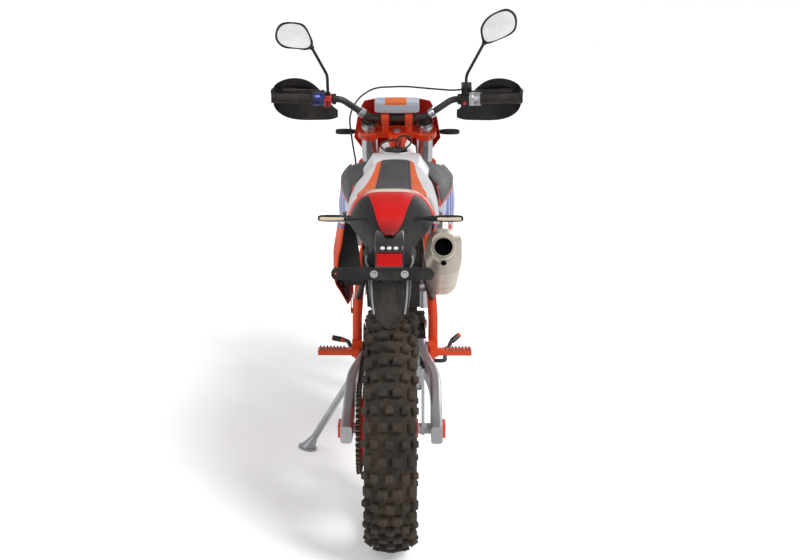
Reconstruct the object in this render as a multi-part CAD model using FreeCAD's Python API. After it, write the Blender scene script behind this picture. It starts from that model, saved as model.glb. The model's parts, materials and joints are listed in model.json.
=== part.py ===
import FreeCAD, Part
import math
import os
from FreeCAD import Matrix, Placement, Rotation, Vector

# Enduro dirt bike, in millimetres. It is drawn upright with the rear wheel's contact below the origin,
# X to the rider's right, Y forward and Z up, and then leaned to its left onto the side stand.

# Whole bike
wheelbase = 1482.0
body_length = 1000.0        # rear axle to the middle of the radiators
body_height = 1000.0        # ground to the top of the rear fender
body_half_width = 200.0     # half the width across the radiator shrouds
lean_deg = 11.5
running_gap = 0.3           # between a bearing face or bore and what turns in it
overrun = 2.0               # how far a cut reaches past what it cuts
bound_step = 0.5            # how closely the outermost faces are measured

# Wheels
rear_tyre_radius = 340.0
rear_tyre_half_width = 70.0
rear_rim_radius = 241.0
rear_rim_half_width = 34.0
front_tyre_radius = 350.0
front_tyre_half_width = 46.0
front_rim_radius = 280.0
front_rim_half_width = 24.0
rear_knob_pitches = 23
front_knob_pitches = 17
rear_knob_height = 17.0
front_knob_height = 13.0
crown_radius = 72.0         # of the tyre's cross-section where it meets the ground
rim_wall = 4.0
rim_depth = 17.0
spoke_radius = 2.0
spokes_per_side = 16
spoke_lead_deg = 38.0       # how far a spoke runs round between hub and rim
axle_radius = 10.0
axle_collar = 5.0           # how much thicker the axle's spacers are
axle_socket_radius = 6.0
axle_socket_depth = 22.0
rear_hub_radius = 26.0
rear_flange_radius = 40.0
rear_flange_at = 30.0
hub_flange_wall = 6.0
rear_hub_left = 94.0
rear_hub_right = 73.0
front_hub_radius = 20.0
front_flange_radius = 32.0
front_flange_at = 24.0
front_hub_left = 60.0
front_hub_right = 50.0
rear_disc_radius = 110.0
front_disc_radius = 130.0
disc_wall = 4.0
rear_disc_at = 68.0
front_disc_at = -56.0
disc_band = 26.0            # braked width of a disc
disc_slots = 24
disc_slot_radius = 4.5
disc_arms = 6
disc_arm_width = 15.0

# Drive chain and its two sprockets
chain_pitch = 15.875
rear_teeth = 48
front_teeth = 14
chain_links = 114
chain_at = -89.0
chain_inside = 7.0          # between the side plates
chain_plate = 2.6
chain_height = 14.0
roller_size = 8.0
sprocket_wall = 5.4
tooth_height = 3.6
tooth_gap = 1.2             # between a roller and the valley below it
drive_axis_height = 418.0
drive_shaft_radius = 11.0
carrier_hole_radius = 14.0
carrier_holes = 8

# Steering
rake_deg = 26.5
axle_offset = 55.0          # front axle ahead of the steering axis
fork_lead = 22.0            # fork tubes ahead of the steering axis
fork_spread = 95.0          # fork tube from the centre plane
fork_tube_radius = 27.0
fork_collar_radius = 29.5
fork_collar_height = 46.0
fork_cap_radius = 23.0
fork_cap_height = 9.0
fork_leg_radius = 23.0
fork_tube_foot = 335.0      # heights along the steering axis, from abreast of the axle
fork_tube_top = 800.0
fork_overlap = 130.0        # how far a leg reaches up inside its tube
head_low = 640.0
head_high = 757.0
head_radius = 27.0
head_bore = 20.0
head_cup_radius = 32.0
head_cup_height = 12.0
stem_radius = 15.0
clamp_wall = 13.0
clamp_waist = 44.0          # depth of a clamp between its two tubes
lower_clamp_height = 27.0
upper_clamp_height = 21.0
steering_stop_deg = 42.0
leg_lug_width = 26.0
leg_lug_radius = 27.0
leg_guard_wall = 3.0
leg_guard_gap = 4.0
leg_guard_low = 30.0
leg_guard_high = 300.0

# Handlebar and what it carries
bar_radius = 14.0
bar_end_radius = 11.0
bar_lead = 12.0
bar_height = 834.0
bar_clamp_at = 40.0
bar_clamp_length = 26.0
bar_clamp_wall = 9.0
bar_post_radius = 13.0
bar_thick_half = 58.0
bar_taper = 26.0
bar_flat = 96.0
bar_bend_at = 186.0
bar_half_width = 405.0
bar_shoulder_height = 906.0
bar_end_height = 926.0
bar_sweep = 26.0
bar_bend_radius = 60.0
pad_length = 150.0
pad_width = 36.0
pad_tall = 50.0
pad_corner = 9.0
grip_length = 122.0
grip_radius = 16.5
grip_flange_radius = 24.0
grip_flange_wall = 4.0
housing_length = 40.0
housing_radius = 21.0
perch_at = 220.0
perch_length = 22.0
perch_radius = 17.0
lever_reach = 44.0
lever_radius = 5.0
reservoir_size = 34.0
reservoir_tall = 30.0
guard_bar_radius = 7.0
guard_reach = 92.0
guard_wall = 4.0
guard_tall = 165.0
guard_drop = 18.0           # of the guard bar below the grip it runs ahead of
guard_ring_at = 205.0
guard_ring_length = 12.0
guard_ring_wall = 7.0

# Mirrors
mirror_left_height = 1356.0
mirror_right_height = 1386.0
mirror_at = 335.0
mirror_along = 950.0
mirror_long_radius = 56.0
mirror_depth = 16.0
mirror_stem_radius = 5.0
mirror_ball_radius = 9.0

# Frame
main_tube_radius = 15.0
down_tube_radius = 20.0
cradle_tube_radius = 13.0
mount_tube_radius = 9.0
subframe_tube_radius = 10.0
pivot_along = 580.0
pivot_height = 405.0
pivot_radius = 10.0
pivot_ear_radius = 27.0
frame_bend_radius = 70.0
neck_gusset_wall = 12.0

# Swingarm
arm_width = 32.0
arm_rear_inner = 108.0
arm_front_inner = 66.0
arm_tube_radius = 20.0
arm_corner = 8.0

# Side stand
stand_pivot_across = -128.0
stand_pivot_along = 575.0
stand_pivot_height = 322.0
stand_foot_across = -285.0
stand_foot_along = 612.0
stand_leg_radius = 11.0
stand_foot_radius = 30.0
stand_foot_wall = 7.0
stand_bolt_radius = 6.0
stand_bolt_head = 10.0
stand_eye_radius = 16.0
stand_eye_wall = 12.0
stand_swing_radius = 26.0     # kept clear round the pivot for the leg as it folds
stand_lug_wall = 12.0
stand_fold_across = 70.0    # how far the folded foot stays out from the pivot
stand_fold_up = 15.0

# Engine
crankcase_half_width = 70.0
crankcase_corner = 22.0
case_cover_wall = 22.0
clutch_cover_radius = 72.0
ignition_cover_radius = 56.0
cylinder_half_width = 60.0
cylinder_length = 116.0
barrel_height = 118.0
head_height = 48.0
cam_cover_height = 32.0
cylinder_lean_deg = 8.0
cylinder_rib = 5.0
cylinder_ribs = 5

# Exhaust
exhaust_radius = 20.0
muffler_width = 96.0
muffler_tall = 126.0
muffler_outlet_radius = 27.0
muffler_outlet_wall = 3.0
muffler_outlet_length = 16.0

# Radiators
radiator_width = 108.0
radiator_depth = 34.0
radiator_tall = 225.0
radiator_tank = 20.0
radiator_inner = 48.0
radiator_fins = 16

# Tank, seat and plastics
cap_radius = 36.0
cap_tall = 15.0
cap_grips = 8
vent_hose_radius = 3.0
panel_wall = 3.0
panel_corner = 18.0
boss_radius = 7.0
fender_wall = 4.0
flap_wall = 4.0
flap_half_width = 42.0

# Plate bracket, lamps and small pieces
bracket_bolt_radius = 3.25
bracket_wall = 4.0
lamp_half_width = 31.0
lamp_corner = 4.0
indicator_stalk_radius = 7.0
indicator_lens_radius = 12.0
peg_tooth = 5.0
peg_teeth = 5
lever_arm_radius = 6.5
lever_tip_radius = 9.0
spring_radius = 34.0
spring_wire_radius = 5.5
spring_turns = 8
shock_body_radius = 20.0
caliper_wall = 12.0
caliper_gap = 1.5           # between a brake pad and its disc
strap_radius = 4.0
hose_radius = 3.0

rake = math.radians(rake_deg)
up_axis = Vector(0, -math.sin(rake), math.cos(rake))
lead_axis = Vector(0, math.cos(rake), math.sin(rake))
rear_axle_at = Vector(0, 0, rear_tyre_radius)
front_axle_at = Vector(0, wheelbase, front_tyre_radius)
steer_foot = front_axle_at - lead_axis * axle_offset
steer_frame = Placement(steer_foot, Rotation(Vector(1, 0, 0), rake_deg))
lean = math.radians(lean_deg)
lean_lift = crown_radius * (1 - math.cos(lean))
ground_normal = Vector(math.sin(lean), 0, math.cos(lean))
side_axis = Vector(1, 0, 0)


def spot(across_share, along_share, up_share):
    return Vector(across_share * body_half_width, along_share * body_length, up_share * body_height)


def steered(shape):
    placed = shape.copy()
    placed.Placement = steer_frame.multiply(placed.Placement)
    return placed


def mirrored(shape):
    return shape.mirror(Vector(0, 0, 0), side_axis)


def joined(shapes):
    whole = shapes[0]
    for shape in shapes[1:]:
        whole = whole.fuse(shape)
    return whole


def rod(start, end, radius):
    return Part.makeCylinder(radius, (end - start).Length, start, end - start)


def drum(radius, x_from, x_to, along, height):
    return Part.makeCylinder(radius, x_to - x_from, Vector(x_from, along, height), side_axis)


def path_edges(points, bend, closed):
    count = len(points)
    starts = []
    ends = []
    arcs = []
    for i in range(count):
        here = points[i]
        if not closed and i in (0, count - 1):
            starts.append(here)
            ends.append(here)
            arcs.append(None)
            continue
        before = points[i - 1] - here
        after = points[(i + 1) % count] - here
        half = before.getAngle(after) / 2
        reach = min(bend / math.tan(half), 0.45 * before.Length, 0.45 * after.Length)
        before.normalize()
        after.normalize()
        first = here + before * reach
        last = here + after * reach
        middle = (before + after).normalize()
        radius = reach * math.tan(half)
        centre = here + middle * (radius / math.sin(half))
        starts.append(first)
        ends.append(last)
        arcs.append(Part.Arc(first, centre - middle * radius, last).toShape())
    edges = []
    for i in range(count):
        if arcs[i]:
            edges.append(arcs[i])
        if closed or i < count - 1:
            edges.append(Part.makeLine(ends[i], starts[(i + 1) % count]))
    return edges


def bent_tube(points, radius, bend):
    spine = Part.Wire(path_edges(points, bend, False))
    heading = points[1] - points[0]
    ring = Part.Wire(Part.makeCircle(radius, points[0], heading))
    return Part.Solid(spine.makePipeShell([ring], True, False))


def plate(outline, corner, x_from, x_to):
    wire = Part.Wire(path_edges([Vector(x_from, p.y, p.z) for p in outline], corner, True))
    return Part.Face(wire).extrude(Vector(x_to - x_from, 0, 0))


def slab(outline, corner, direction):
    return Part.Face(Part.Wire(path_edges(outline, corner, True))).extrude(direction)


def section(across, along, height, width, tall, corner):
    left, right = across - width / 2, across + width / 2
    low, high = height - tall / 2, height + tall / 2
    points = [Vector(left, along, low), Vector(right, along, low)]
    points += [Vector(right, along, high), Vector(left, along, high)]
    return Part.Wire(path_edges(points, corner, True))


def skin(sections):
    return Part.makeLoft(sections, True, False)


def curved_sheet(stations, wall):
    wires = []
    for points in stations:
        inner = [p - Vector(wall, 0, 0) for p in points]
        outside = Part.BSplineCurve()
        outside.interpolate(points)
        inside = Part.BSplineCurve()
        inside.interpolate(inner)
        edges = [outside.toShape(), Part.makeLine(points[-1], inner[-1])]
        edges += [inside.toShape(), Part.makeLine(inner[0], points[0])]
        wires.append(Part.Wire(Part.__sortEdges__(edges)))
    return Part.makeLoft(wires, True, False)


def revolved(profile, centre):
    points = [Vector(p[0], 0, p[1]) for p in profile]
    face = Part.Face(Part.makePolygon(points + points[:1]))
    solid = face.revolve(Vector(0, 0, 0), side_axis, 360)
    solid.translate(centre)
    return solid


def sewn(faces):
    flats = [Part.Face(Part.makePolygon(list(face) + [face[0]])) for face in faces]
    shell = Part.Compound(flats)
    shell.sewShape()
    return Part.Solid(shell.Shells[0])


# Wheels
tyre_width_shares = (0.50, 0.96, 0.52, 0.17, -0.17, -0.52, -0.96, -0.50)
tyre_rise_shares = (0.0, 0.62, 0.93, 1.0, 1.0, 0.93, 0.62, 0.0)
pair_bands = (2, 4)
centre_bands = (1, 3, 5)
knob_edge_shares = (0.05, 0.44, 0.55, 0.94)


def tyre(radius, half_width, rim_radius, knob_height, pitches, centre):
    base = radius - knob_height
    seat = (rim_radius + running_gap) / math.cos(math.pi / pitches)
    profile = []
    for width_share, rise_share in zip(tyre_width_shares, tyre_rise_shares):
        profile.append((width_share * half_width, seat + rise_share * (base - seat)))
    count = len(profile)
    turns = []
    for pitch in range(pitches):
        turns += [2 * math.pi * (pitch + share) / pitches for share in knob_edge_shares]

    def point(column, row, lift=(0.0, 0.0)):
        turn = turns[column % len(turns)]
        across, out = profile[row % count]
        out += lift[1]
        return centre + Vector(across + lift[0], out * math.cos(turn), out * math.sin(turn))

    faces = []
    for column in range(len(turns)):
        raised = {0: pair_bands, 2: centre_bands}.get(column % 4, ())
        for row in range(1, count - 2):
            corners = [(column, row), (column + 1, row), (column + 1, row + 1), (column, row + 1)]
            foot = [point(c, r) for c, r in corners]
            if row not in raised:
                faces.append(foot)
                continue
            x_first, r_first = profile[row]
            x_last, r_last = profile[row + 1]
            slope = math.hypot(x_last - x_first, r_last - r_first)
            lift = (knob_height * (r_last - r_first) / slope, knob_height * (x_first - x_last) / slope)
            top = [point(c, r, lift) for c, r in corners]
            faces.append(top)
            for i in range(4):
                j = (i + 1) % 4
                faces.append([foot[i], foot[j], top[j], top[i]])
    for pitch in range(pitches):
        first = 4 * pitch
        for bead, side in ((0, 1), (count - 1, count - 2)):
            faces.append([point(first, bead), point(first + 4, bead), point(first + 4, side)])
            for column in range(first, first + 4):
                faces.append([point(first, bead), point(column, side), point(column + 1, side)])
        faces.append([point(first, 0), point(first + 4, 0), point(first + 4, count - 1), point(first, count - 1)])
    return sewn(faces)


def rim(rim_radius, half_width, centre):
    well = rim_radius - rim_depth
    profile = [(-half_width, rim_radius), (-half_width, rim_radius - rim_wall)]
    profile += [(-half_width / 2, well), (half_width / 2, well)]
    profile += [(half_width, rim_radius - rim_wall), (half_width, rim_radius)]
    profile += [(half_width / 2, well + rim_wall), (-half_width / 2, well + rim_wall)]
    return revolved(profile, centre)


def hub(radius, flange_radius, flange_at, left, right, rim_radius, centre):
    pieces = [drum(radius, -left, right, 0, 0)]
    rim_inside = rim_radius - rim_depth - running_gap
    for side in (-1, 1):
        middle = side * flange_at
        pieces.append(drum(flange_radius, middle - hub_flange_wall / 2, middle + hub_flange_wall / 2, 0, 0))
        for i in range(spokes_per_side):
            base = 2 * math.pi * (i + side / 4) / spokes_per_side
            foot = base + math.radians(spoke_lead_deg) * (1 if i % 2 else -1)
            inner = flange_radius - hub_flange_wall
            start = Vector(middle, inner * math.cos(base), inner * math.sin(base))
            reach = rim_radius - rim_wall
            end = Vector(side * hub_flange_wall, reach * math.cos(foot), reach * math.sin(foot))
            pieces.append(rod(start, end, spoke_radius))
    whole = pieces[0].multiFuse(pieces[1:])
    whole = whole.cut(drum(axle_radius + running_gap, -left - overrun, right + overrun, 0, 0))
    whole = whole.common(drum(rim_inside, -left - overrun, right + overrun, 0, 0))
    whole.translate(centre)
    return whole


def brake_disc(radius, at, hub_radius, centre):
    near = at - disc_wall / 2
    band_inside = radius - disc_band
    pieces = [drum(radius, near, near + disc_wall, 0, 0).cut(drum(band_inside, near - overrun, near + disc_wall + overrun, 0, 0))]
    pieces.append(drum(hub_radius + disc_arm_width, near, near + disc_wall, 0, 0))
    for i in range(disc_arms):
        arm = Part.makeBox(disc_wall, band_inside + disc_wall, disc_arm_width)
        arm.translate(Vector(near, 0, -disc_arm_width / 2))
        arm.rotate(Vector(0, 0, 0), side_axis, 360.0 * i / disc_arms)
        pieces.append(arm)
    cuts = [drum(hub_radius + running_gap, near - overrun, near + disc_wall + overrun, 0, 0)]
    for i in range(disc_slots):
        turn = 2 * math.pi * i / disc_slots
        out = radius - disc_band * (0.3 if i % 2 else 0.62)
        cuts.append(drum(disc_slot_radius, near - overrun, near + disc_wall + overrun, out * math.cos(turn), out * math.sin(turn)))
    whole = joined(pieces).cut(cuts)
    whole.translate(centre)
    return whole


# Chain loop and sprockets
chain_leg_steps = {"top": 1, "front": 5, "bottom": 1, "rear": 18}


def pitch_radius(teeth):
    return chain_pitch / 2 / math.sin(math.pi / teeth)


rear_pitch_radius = pitch_radius(rear_teeth)
front_pitch_radius = pitch_radius(front_teeth)
drive_rise = drive_axis_height - rear_tyre_radius


def chain_legs(along):
    centres = math.hypot(along, drive_rise)
    slope = math.atan2(drive_rise, along)
    tilt = math.asin((rear_pitch_radius - front_pitch_radius) / centres)
    straight = centres * math.cos(tilt)
    top = slope + math.pi / 2 - tilt
    bottom = slope - math.pi / 2 + tilt
    legs = [("top", top, straight), ("front", top, (math.pi - 2 * tilt) * front_pitch_radius)]
    legs += [("bottom", bottom, straight), ("rear", bottom, (math.pi + 2 * tilt) * rear_pitch_radius)]
    return legs


def drive_axis_along():
    low, high = body_length / 2, body_length
    for _ in range(50):
        middle = (low + high) / 2
        if sum(leg[2] for leg in chain_legs(middle)) > chain_links * chain_pitch:
            high = middle
        else:
            low = middle
    return low


drive_along = drive_axis_along()
drive_axis_at = Vector(0, drive_along, drive_axis_height)
loop_legs = chain_legs(drive_along)
loop_length = sum(leg[2] for leg in loop_legs)


def chain_point(distance, out):
    distance = distance % loop_length
    for kind, angle, length in loop_legs:
        if distance > length:
            distance -= length
            continue
        normal = Vector(0, math.cos(angle), math.sin(angle))
        rear_touch = rear_axle_at + normal * (rear_pitch_radius + out)
        front_touch = drive_axis_at + normal * (front_pitch_radius + out)
        if kind == "top":
            return rear_touch + (front_touch - rear_touch) * (distance / length)
        if kind == "bottom":
            return front_touch + (rear_touch - front_touch) * (distance / length)
        centre, radius = (drive_axis_at, front_pitch_radius) if kind == "front" else (rear_axle_at, rear_pitch_radius)
        turned = angle - distance / radius
        return centre + Vector(0, math.cos(turned), math.sin(turned)) * (radius + out)
    return chain_point(0.0, out)


def roller_distance(i):
    return loop_length * (i + 0.5) / chain_links


def chain():
    half = chain_height / 2
    marks = [0.0]
    for kind, angle, length in loop_legs:
        steps = chain_leg_steps[kind]
        start = marks[-1]
        marks += [start + length * (i + 1) / steps for i in range(steps)]
    marks = marks[:-1]
    outer = [chain_point(mark, half) for mark in marks]
    inner = [chain_point(mark, -half) for mark in marks]
    pieces = []
    for side in (-1, 1):
        near = Vector(chain_at + side * chain_inside / 2, 0, 0)
        rings = []
        for loop in (outer, inner):
            rings.append(Part.Face(Part.makePolygon([p + near for p in loop + loop[:1]])))
        pieces.append(rings[0].cut(rings[1]).extrude(Vector(side * chain_plate, 0, 0)))
    left = Vector(chain_at - chain_inside / 2 - chain_plate / 2, 0, 0)
    for i in range(chain_links):
        at = roller_distance(i)
        ahead = (chain_point(at + chain_pitch / 4, 0) - chain_point(at - chain_pitch / 4, 0)).normalize()
        out = Vector(0, -ahead.z, ahead.y)
        middle = chain_point(at, 0) + left
        corners = [middle + (ahead + out) * (roller_size / 2), middle - out * (roller_size / 2)]
        corners.append(middle + (out - ahead) * (roller_size / 2))
        face = Part.Face(Part.makePolygon(corners + corners[:1]))
        pieces.append(face.extrude(Vector(chain_inside + chain_plate, 0, 0)))
    return pieces[0].multiFuse(pieces[1:])


tooth_edge_shares = (0.20, 0.42, 0.58, 0.80)


def sprocket(teeth, centre, first_roller, bore):
    outer = pitch_radius(teeth)
    valley = outer - roller_size / 2 - tooth_gap
    start = chain_point(first_roller, 0) - centre
    phase = math.atan2(start.z, start.y)
    points = []
    for i in range(teeth):
        for share, radius in zip(tooth_edge_shares, (valley, outer + tooth_height, outer + tooth_height, valley)):
            turn = phase + 2 * math.pi * (i + share) / teeth
            points.append(Vector(0, radius * math.cos(turn), radius * math.sin(turn)))
    face = Part.Face(Part.makePolygon(points + points[:1]))
    toothed = face.extrude(Vector(sprocket_wall, 0, 0))
    toothed = toothed.cut(drum(bore, -overrun, sprocket_wall + overrun, 0, 0))
    toothed.translate(centre + Vector(chain_at - sprocket_wall / 2, 0, 0))
    return toothed


def rear_sprocket():
    first = next(i for i in range(chain_links) if roller_distance(i) > loop_length - loop_legs[3][2])
    toothed = sprocket(rear_teeth, rear_axle_at, roller_distance(first), rear_hub_radius + running_gap)
    cuts = []
    middle = (rear_pitch_radius + rear_hub_radius) / 2
    for i in range(carrier_holes):
        turn = 2 * math.pi * i / carrier_holes
        y = middle * math.cos(turn)
        z = rear_tyre_radius + middle * math.sin(turn)
        cuts.append(drum(carrier_hole_radius, chain_at - sprocket_wall, chain_at + sprocket_wall, y, z))
    return toothed.cut(cuts)


def drive_sprocket():
    first = next(i for i in range(chain_links) if roller_distance(i) > loop_legs[0][2])
    toothed = sprocket(front_teeth, drive_axis_at, roller_distance(first), drive_shaft_radius / 2)
    shaft = drum(drive_shaft_radius, chain_at - sprocket_wall, -crankcase_half_width - running_gap, drive_along, drive_axis_height)
    return joined([toothed, shaft])


# Frame
down_tube_shares = ((0, 1.098, 0.905), (0, 1.028, 0.62), (0, 0.985, 0.41))
main_tube_shares = ((0.08, 1.075, 0.945), (0.24, 0.985, 0.90), (0.37, 0.80, 0.80), (0.54, 0.655, 0.66), (0.60, 0.605, 0.50),
                    (0.60, 0.598, 0.375))
cradle_tube_shares = ((0.07, 0.985, 0.43), (0.20, 0.955, 0.315), (0.32, 0.80, 0.285), (0.50, 0.665, 0.293), (0.60, 0.60, 0.385))
engine_mount_shares = (0.32, 0.80, 0.294)
seat_rail_shares = ((0.44, 0.715, 0.745), (0.41, 0.42, 0.835), (0.37, 0.10, 0.905), (0.25, -0.10, 0.958))
stay_rail_shares = ((0.585, 0.622, 0.555), (0.44, 0.46, 0.68), (0.37, 0.15, 0.885))
radiator_mount_heights = (0.69, 0.83)
stand_lug_shares = ((0, 0.615, 0.395), (0, 0.565, 0.395), (0, 0.555, 0.322), (0, 0.575, 0.300), (0, 0.600, 0.315))
peg_lug_shares = ((0, 0.61, 0.425), (0, 0.52, 0.415), (0, 0.52, 0.392), (0, 0.61, 0.375))


def stand_foot():
    up = (-lean_lift - stand_foot_across * math.sin(lean)) / math.cos(lean)
    return Vector(stand_foot_across, stand_foot_along, up)


def stand_pivot():
    return Vector(stand_pivot_across, stand_pivot_along, stand_pivot_height)


def stand_folded():
    reach = (stand_foot() - stand_pivot()).Length
    back = math.sqrt(reach ** 2 - stand_fold_across ** 2 - stand_fold_up ** 2)
    return Vector(-stand_fold_across, -back, stand_fold_up)


def stand_axis():
    swing = (stand_foot() - stand_pivot() - stand_folded()).normalize()
    return (side_axis - swing * side_axis.dot(swing)).normalize()


def head_tube(extra):
    tube = Part.makeCylinder(head_radius + extra, head_high - head_low, Vector(0, 0, head_low))
    cups = []
    for foot in (head_low, head_high - head_cup_height):
        cups.append(Part.makeCylinder(head_cup_radius + extra, head_cup_height, Vector(0, 0, foot)))
    return steered(tube.fuse(cups))


def frame_tubes(extra):
    pieces = [head_tube(extra), bent_tube([spot(*share) for share in down_tube_shares], down_tube_radius + extra, frame_bend_radius)]
    halves = []
    for shares, radius in ((main_tube_shares, main_tube_radius), (cradle_tube_shares, cradle_tube_radius)):
        halves.append(bent_tube([spot(*share) for share in shares], radius + extra, frame_bend_radius))
    pivot_x = main_tube_shares[-1][0] * body_half_width
    halves.append(drum(pivot_ear_radius + extra, pivot_x - main_tube_radius - extra, pivot_x + main_tube_radius + extra, pivot_along,
                       pivot_height))
    pieces += halves + [mirrored(half) for half in halves]
    for across, along, up in (main_tube_shares[2], main_tube_shares[3]):
        pieces.append(rod(spot(-across, along, up), spot(across, along, up), cradle_tube_radius + extra))
    across, along, up = engine_mount_shares
    pieces.append(rod(spot(-across, along, up), spot(across, along, up), mount_tube_radius + extra))
    pieces.append(drum(pivot_radius + extra, -pivot_x, pivot_x, pivot_along, pivot_height))
    for up in radiator_mount_heights:
        along = radiator_foot.y + radiator_depth / 2
        height = up * body_height
        pieces.append(drum(mount_tube_radius + extra, -radiator_inner + running_gap, radiator_inner - running_gap, along, height))
        top, low = [spot(*share) for share in down_tube_shares[:2]]
        share = (height - low.z) / (top.z - low.z)
        pieces.append(rod(Vector(0, along, height), low + (top - low) * share, mount_tube_radius + extra))
    return pieces


radiator_foot = Vector(radiator_inner, 1.005 * body_length, 0.645 * body_height)


def frame():
    pieces = frame_tubes(0)
    gusset = [spot(0, 1.085, 0.915), spot(0, 1.02, 0.895), spot(0, 1.078, 0.82)]
    pieces.append(plate(gusset, neck_gusset_wall, -neck_gusset_wall / 2, neck_gusset_wall / 2))
    lug_x = stand_pivot_across + stand_eye_wall / 2 + running_gap
    pieces.append(plate([spot(*share) for share in stand_lug_shares], stand_lug_wall, lug_x, lug_x + stand_lug_wall))
    pivot_x = main_tube_shares[-1][0] * body_half_width
    outline = [spot(*share) for share in peg_lug_shares]
    right = plate(outline, mount_tube_radius, pivot_x - mount_tube_radius, pivot_x + main_tube_radius)
    pieces += [right, mirrored(right)]
    axis = stand_axis()
    start = stand_pivot() + axis * (stand_eye_wall / 2 + stand_lug_wall)
    end = stand_pivot() - axis * (stand_eye_wall / 2 + running_gap)
    pieces.append(rod(start, end, stand_bolt_radius))
    pieces.append(rod(end, end - axis * stand_bolt_head / 2, stand_bolt_head))
    bore = steered(Part.makeCylinder(head_bore, head_high - head_low + 2 * overrun, Vector(0, 0, head_low - overrun)))
    eye = rod(stand_pivot() - axis * (stand_eye_wall / 2 + running_gap), stand_pivot() + axis * (stand_eye_wall / 2 + running_gap),
              stand_swing_radius)
    whole = joined(pieces).cut(bore)
    lug_room = eye.cut(rod(start, end, stand_bolt_radius))
    return whole.cut(lug_room)


def frame_room():
    return Part.makeCompound(frame_tubes(running_gap))


def subframe_tubes(extra):
    halves = []
    for shares in (seat_rail_shares, stay_rail_shares):
        halves.append(bent_tube([spot(*share) for share in shares], subframe_tube_radius + extra, frame_bend_radius))
    pieces = halves + [mirrored(half) for half in halves]
    for across, along, up in seat_rail_shares[1:]:
        pieces.append(rod(spot(-across, along, up), spot(across, along, up), subframe_tube_radius + extra))
    return pieces


def subframe(room):
    return joined(subframe_tubes(0)).cut(room)


def subframe_room():
    return Part.makeCompound(subframe_tubes(running_gap))


# Swingarm and rear axle
arm_shares = ((0.605, 0.412, 0.034), (0.57, 0.406, 0.040), (0.45, 0.392, 0.056), (0.32, 0.378, 0.066), (0.12, 0.358, 0.064),
              (-0.02, 0.344, 0.060), (-0.062, 0.341, 0.048))
arm_spread_shares = (0, 0, 0.35, 0.9, 1, 1, 1)
bridge_shares = ((0, 0.485, 0.375), (0, 0.485, 0.425), (0, 0.405, 0.420), (0, 0.385, 0.372))


def arm_bridge():
    inside = arm_front_inner + arm_width * 0.4
    return plate([spot(*share) for share in bridge_shares], arm_corner, -inside, inside)


def swingarm():
    wires = []
    for (along, up, tall), spread in zip(arm_shares, arm_spread_shares):
        inner = arm_front_inner + spread * (arm_rear_inner - arm_front_inner)
        wires.append(section(inner + arm_width / 2, along * body_length, up * body_height, arm_width, tall * body_height, arm_corner))
    arm = skin(wires)
    pivot_x = main_tube_shares[-1][0] * body_half_width - main_tube_radius - running_gap
    tube = drum(arm_tube_radius, -pivot_x, pivot_x, pivot_along, pivot_height)
    whole = joined([arm, mirrored(arm), arm_bridge(), tube])
    outer = arm_rear_inner + arm_width + overrun
    cuts = [drum(axle_radius + running_gap, -outer, outer, 0, rear_tyre_radius)]
    cuts.append(drum(pivot_radius + running_gap, -outer, outer, pivot_along, pivot_height))
    return whole.cut(cuts)


axle_block_shares = ((0, 0.026, 0.319), (0, 0.026, 0.361), (0, -0.034, 0.358), (0, -0.034, 0.322))
caliper_arm_shares = ((0, -0.018, 0.325), (0, 0.02, 0.322), (0, 0.165, 0.425), (0, 0.15, 0.470), (0, 0.09, 0.455), (0, -0.015, 0.36))


def rear_axle():
    outer = arm_rear_inner + arm_width
    end = outer + arm_width / 4 + running_gap
    pieces = [drum(axle_radius, -end, end, 0, rear_tyre_radius)]
    for side in (-1, 1):
        near, far = sorted((side * (outer + running_gap), side * end))
        pieces.append(plate([spot(*share) for share in axle_block_shares], arm_corner, near, far))
    collar = axle_radius + axle_collar
    pieces.append(drum(collar, -arm_rear_inner + running_gap, -rear_hub_left - running_gap, 0, rear_tyre_radius))
    pieces.append(drum(collar, rear_hub_right + running_gap, arm_rear_inner - running_gap, 0, rear_tyre_radius))
    carrier = [spot(*share) for share in caliper_arm_shares]
    near = rear_disc_at + disc_wall / 2 + caliper_wall
    pieces.append(plate(carrier, arm_corner, near, near + caliper_wall * 0.7))
    whole = joined(pieces)
    cuts = []
    for side in (-1, 1):
        near, far = sorted((side * (end + running_gap), side * (end - axle_socket_depth)))
        cuts.append(drum(axle_socket_radius, near, far, 0, rear_tyre_radius))
    return whole.cut(cuts)


def caliper_body(outline, corner, at):
    """Two halves of a caliper, astride the disc at the given place and open along the disc's rim."""
    half = disc_wall / 2 + caliper_wall - running_gap
    body = plate(outline, corner, at - half, at + half)
    return body


rear_caliper_shares = ((0, 0.075, 0.428), (0, 0.145, 0.405), (0, 0.172, 0.452), (0, 0.108, 0.492))


def rear_caliper():
    body = caliper_body([spot(*share) for share in rear_caliper_shares], arm_corner, rear_disc_at)
    half = disc_wall / 2 + caliper_gap
    slot = drum(rear_disc_radius + caliper_gap, rear_disc_at - half, rear_disc_at + half, 0, rear_tyre_radius)
    return body.cut(slot)


# Engine and exhaust
crankcase_shares = ((0, 0.632, 0.335), (0, 0.70, 0.303), (0, 0.875, 0.303), (0, 0.935, 0.365), (0, 0.93, 0.46), (0, 0.885, 0.515),
                    (0, 0.77, 0.53), (0, 0.648, 0.475))
clutch_cover_shares = (0.765, 0.405)
ignition_cover_shares = (0.835, 0.405)
cylinder_foot_shares = (0, 0.815, 0.49)


def crankcase(room):
    pieces = [plate([spot(*share) for share in crankcase_shares], crankcase_corner, -crankcase_half_width, crankcase_half_width)]
    outside = crankcase_half_width + case_cover_wall
    along, up = clutch_cover_shares[0] * body_length, clutch_cover_shares[1] * body_height
    pieces.append(drum(clutch_cover_radius, 0, outside, along, up))
    pieces.append(drum(clutch_cover_radius * 0.66, 0, outside + case_cover_wall / 4, along, up))
    along, up = ignition_cover_shares[0] * body_length, ignition_cover_shares[1] * body_height
    pieces.append(drum(ignition_cover_radius, -outside, 0, along, up))
    return joined(pieces).cut(room)


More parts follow.
